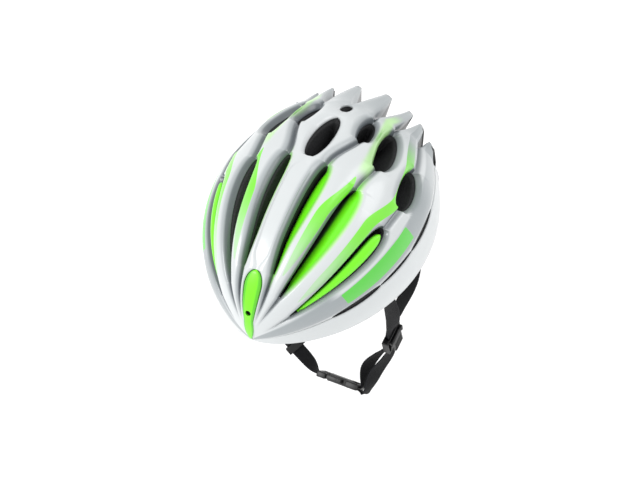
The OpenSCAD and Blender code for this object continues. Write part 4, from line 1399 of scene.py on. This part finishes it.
def buckle():
    f = Block("buckle_socket_half", BUCKLE_FRAME)
    for s in (-1, 1):
        # The tube that the plug goes into, its lip, and the frame's side rails.
        f.box((-2.0, 0, s * 3.25), (TUBE_L, 13, TUBE_WALL), 0.6)
        f.box((-2.0, s * 5.75, 0), (TUBE_L, TUBE_WALL, 7.6), 0.6)
        f.box((15.0, s * 10.2, 0), (14, 3.6, 7.2), 1.2)
        f.box((-12.5, 0, s * 3.6), (2.2, 12.4, 1.0), 0.4)
        for k in range(3):
            f.box((12.0, s * (4.0 + 2.6 * k) * 0.8, 3.7), (4.0, 0.9, 0.5), 0.2)
    # The shoulder, the end bar and the web bar between them.
    f.box((10.6, 0, 0), (5.2, 23.4, 7.4), 1.2)
    f.box((21.4, 0, 0), (3.2, 23.6, 6.6), 1.2)
    f.box((18.0, 0, -1.4), (1.6, 18, 1.8), 0.6)
    f.done("helmet", "hardware_black", "buckle_female")
    m = Block("buckle_plug_half", BUCKLE_FRAME)
    # The frame: shoulder and end bar, then the side rails.
    m.box((-16.9, 0, 0), (3.6, PLUG_W, PLUG_H), 1.3)
    m.box((-23.9, 0, 0), (3.2, PLUG_W, PLUG_H), 1.3)
    for s in (-1, 1):
        m.box((-20.3, s * 10.3, 0), (10.4, 3.4, 6.6), 1.2)
        m.box((-16.0, s * 4.0, 3.2), (2.2, 3.0, 0.8), 0.3)
    # The guide tongue with its tip, and the web bar.
    m.box((-6.0, 0, 0), (22, 4, 3), 0.8)
    m.box((3.6, 0, 0), (3.4, 5.2, 3.2), 0.9)
    m.box((-20.4, 0, 1.2), (1.5, 17.6, 1.7), 0.6)
    m.done("buckle_male", "hardware_black", "buckle_male")
    for name, s in (("upper", 1), ("lower", -1)):
        a = Block("latch_" + name + "_arm", BUCKLE_FRAME @ Matrix.Translation((LATCH_X, s * LATCH_Y, 0)))
        # The bending root, the arm, the finger pad and its grip ridges.
        a.rod((0, 0, 0), 1.0, 5, "Z", 0.2)
        a.box((8.6, s * 0.2, 0), (17.6, 2.0, 4.8), 0.7)
        a.box((13.5, s * 1.0, 0), (7.0, 1.6, 5.0), 0.7)
        for k in range(3):
            a.box((11.5 + 2 * k, s * 1.85, 0), (0.8, 0.5, 4.2), 0.2)
        a.done("latch_" + name, "hardware_black", "latch_arm_" + name)


buckle()

# Keeper on the chin strap.
KEEPER_AT = np.array((-36.8, -57.7, -180.8)) + TAIL_N * TAIL_GAP / 2
KEEPER = (8.0, WEB_W + 6, 10.6)
KEEPER_HOLE = (WEB_W + 3.6, 8.2)      # room for the chin strap and the tail outside it


def keeper():
    y = np.cross(TAIL_N, TAIL_RUN)
    b = Block("keeper_loop", frame_matrix(TAIL_RUN, y, TAIL_N, KEEPER_AT))
    side_t, cap_t = (KEEPER[1] - KEEPER_HOLE[0]) / 2, (KEEPER[2] - KEEPER_HOLE[1]) / 2
    for s in (-1, 1):
        b.box((0, s * (KEEPER[1] - side_t) / 2, 0), (KEEPER[0], side_t, KEEPER[2]), 0.6)
        b.box((0, 0, s * (KEEPER[2] - cap_t) / 2), (KEEPER[0], KEEPER[1], cap_t), 0.6)
    b.done("helmet", "hardware_black", "strap_keeper")


keeper()

# Fit dial, at the back of the head: y runs to the rear.
DIAL_R, DIAL_FLUTES, DIAL_SIDES = 13.0, 16, 64
DIAL_FACE, DIAL_BACK = 81.0, 72.0
CRADLE_W, CRADLE_H = 54.0, 26.0
NAPE_X, NAPE_Y, NAPE_SIZE = 16.0, 59.1, (18, 4.2, 20)


def dial():
    b = Block("dial_grip", Matrix.Translation((0, (DIAL_FACE + DIAL_BACK) / 2, CRADLE[2])))
    depth = DIAL_FACE - DIAL_BACK
    b.rod((0, 0, 0), DIAL_R - 1.3, depth - 0.8, "Y", 1.2, DIAL_SIDES)
    b.rod((0, depth / 2 - 0.4, 0), DIAL_R - 4.5, 0.9, "Y", 0.3, DIAL_SIDES)
    for k in range(DIAL_FLUTES):
        a = 2 * math.pi * (k + 0.5) / DIAL_FLUTES
        spot = ((DIAL_R - 1.7) * math.cos(a), -0.3, (DIAL_R - 1.7) * math.sin(a))
        b.box(spot, (3.2, depth - 1.2, 2.6), 0.9, Matrix.Rotation(-a, 4, "Y"))
    b.done("dial", "knob_rubber", "dial_knob")


def cradle_shells():
    for name, y0, y1, out in (("housing", 61.5, 65.95, -1), ("cover", 66.05, 70.5, 1)):
        b = Block("cradle_" + name + "_shell", Matrix.Translation((0, (y0 + y1) / 2, CRADLE[2])))
        b.box((0, 0, 0), (CRADLE_W, y1 - y0, CRADLE_H), 1.6)
        for s in (-1, 1):
            b.box((0, out * (y1 - y0) / 2, s * (CRADLE_H / 2 - 2.6)), (CRADLE_W - 10, 0.8, 1.4), 0.3)
        b.done("helmet", "band_nylon", "cradle_" + name)
    for side_name, side in SIDES[::-1]:
        b = Block("nape_cushion_" + side_name, Matrix.Translation((side * NAPE_X, NAPE_Y, CRADLE[2])))
        b.box((0, 0, 0), NAPE_SIZE, 1.8)
        obj = b.done("helmet", "pad_fabric")
        if side == RIGHT:
            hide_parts("occipital_pads")
        edge = obj.data.attributes.new("edge", "FLOAT", "POINT")
        edge.data.foreach_set("value", np.ones(len(obj.data.vertices), np.float32))


RACK_INNER, RACK_OUTER = -8.0, 32.0
RACK_H, RACK_T, RACK_Z = 2.6, 2.2, 5.45
TOOTH_PITCH, TOOTH_H = 1.6, 1.0
RACK_BARE = 8.0                        # length without teeth before the end
TAB = (4.6, 3.0, 11.6)                 # the end that holds the band arm


def rack(side, side_name):
    b = Block("rack_strip_" + side_name, Matrix.Translation(CRADLE) @ Matrix.Diagonal((side, 1, side, 1)))
    b.box(((RACK_INNER + RACK_OUTER) / 2, 0, RACK_Z), (RACK_OUTER - RACK_INNER, RACK_T, RACK_H), 0.25)
    for x in np.arange(RACK_INNER + 1, RACK_OUTER - RACK_BARE, TOOTH_PITCH):
        b.box((x, 0, RACK_Z - RACK_H / 2 - TOOTH_H / 4), (0.8, RACK_T, TOOTH_H), 0.2)
    b.box((RACK_OUTER + 1.6, 0, RACK_Z), TAB, 0.8)
    b.done("rack_" + side_name, "band_nylon", "rack_" + side_name)


dial()
cradle_shells()
for side_name, side in SIDES:
    rack(side, side_name)


# ---- Camera, light and floor ----
TARGET = Vector((0.0, 0.0, 0.060))
VIEW_AZIMUTH, VIEW_ELEVATION, VIEW_ROLL = 39.0, 56.5, 16.0
VIEW_DISTANCE = 1.6
LENS, SENSOR = 94.0, 36.0
SHIFT = (0.008, -0.073)
FLOOR_Z, FLOOR_HALF = -0.262, 12.0
SKY_STRENGTH = 0.85


def set_camera():
    data = bpy.data.cameras.new("camera")
    data.lens, data.sensor_width = LENS, SENSOR
    data.shift_x, data.shift_y = SHIFT
    data.dof.use_dof = False
    cam = add_object("camera", data)
    a, e = math.radians(VIEW_AZIMUTH), math.radians(VIEW_ELEVATION)
    back = Vector((math.sin(a) * math.cos(e), -math.cos(a) * math.cos(e), math.sin(e)))
    cam.location = TARGET + back * VIEW_DISTANCE
    cam.rotation_mode = "QUATERNION"
    roll = Matrix.Rotation(-math.radians(VIEW_ROLL), 4, "Z").to_quaternion()
    cam.rotation_quaternion = (-back).to_track_quat("-Z", "Y") @ roll
    bpy.context.scene.camera = cam


def soft_light(name, where, size, watts):
    data = bpy.data.lights.new(name, "AREA")
    data.shape, data.size, data.energy = "DISK", size, watts
    lamp = add_object(name, data)
    lamp.location = where
    lamp.rotation_mode = "QUATERNION"
    lamp.rotation_quaternion = (TARGET - Vector(where)).to_track_quat("-Z", "Y")


def set_stage():
    world = bpy.data.worlds.new("studio")
    world.use_nodes = True
    sky = world.node_tree.nodes["Background"].inputs
    sky["Color"].default_value = (1, 1, 1, 1)
    sky["Strength"].default_value = SKY_STRENGTH
    bpy.context.scene.world = world
    soft_light("key", (-1.1, -1.3, 2.0), 1.2, 34)
    soft_light("rim", (1.6, 1.4, 1.6), 1.4, 16)
    bpy.context.scene.view_settings.view_transform = "Standard"
    mesh = bpy.data.meshes.new("floor")
    corners = [(x * FLOOR_HALF, y * FLOOR_HALF, FLOOR_Z) for x, y in ((-1, -1), (1, -1), (1, 1), (-1, 1))]
    mesh.from_pydata(corners, [], [(0, 1, 2, 3)])
    mesh.materials.append(floor_material())
    add_object("floor", mesh)


set_camera()
set_stage()


def carry_over():
    """CAD pieces that are shown as they are get their slot's finish."""
    for part in frame["record"]["subparts"]:
        obj = frame["nodes"].get(part["node"])
        if obj is None or obj.hide_render:
            continue
        material = MATERIALS[part["material_slot"]]
        if not obj.data.materials:
            obj.data.materials.append(material)
        for k in range(len(obj.data.materials)):
            obj.data.materials[k] = material


carry_over()
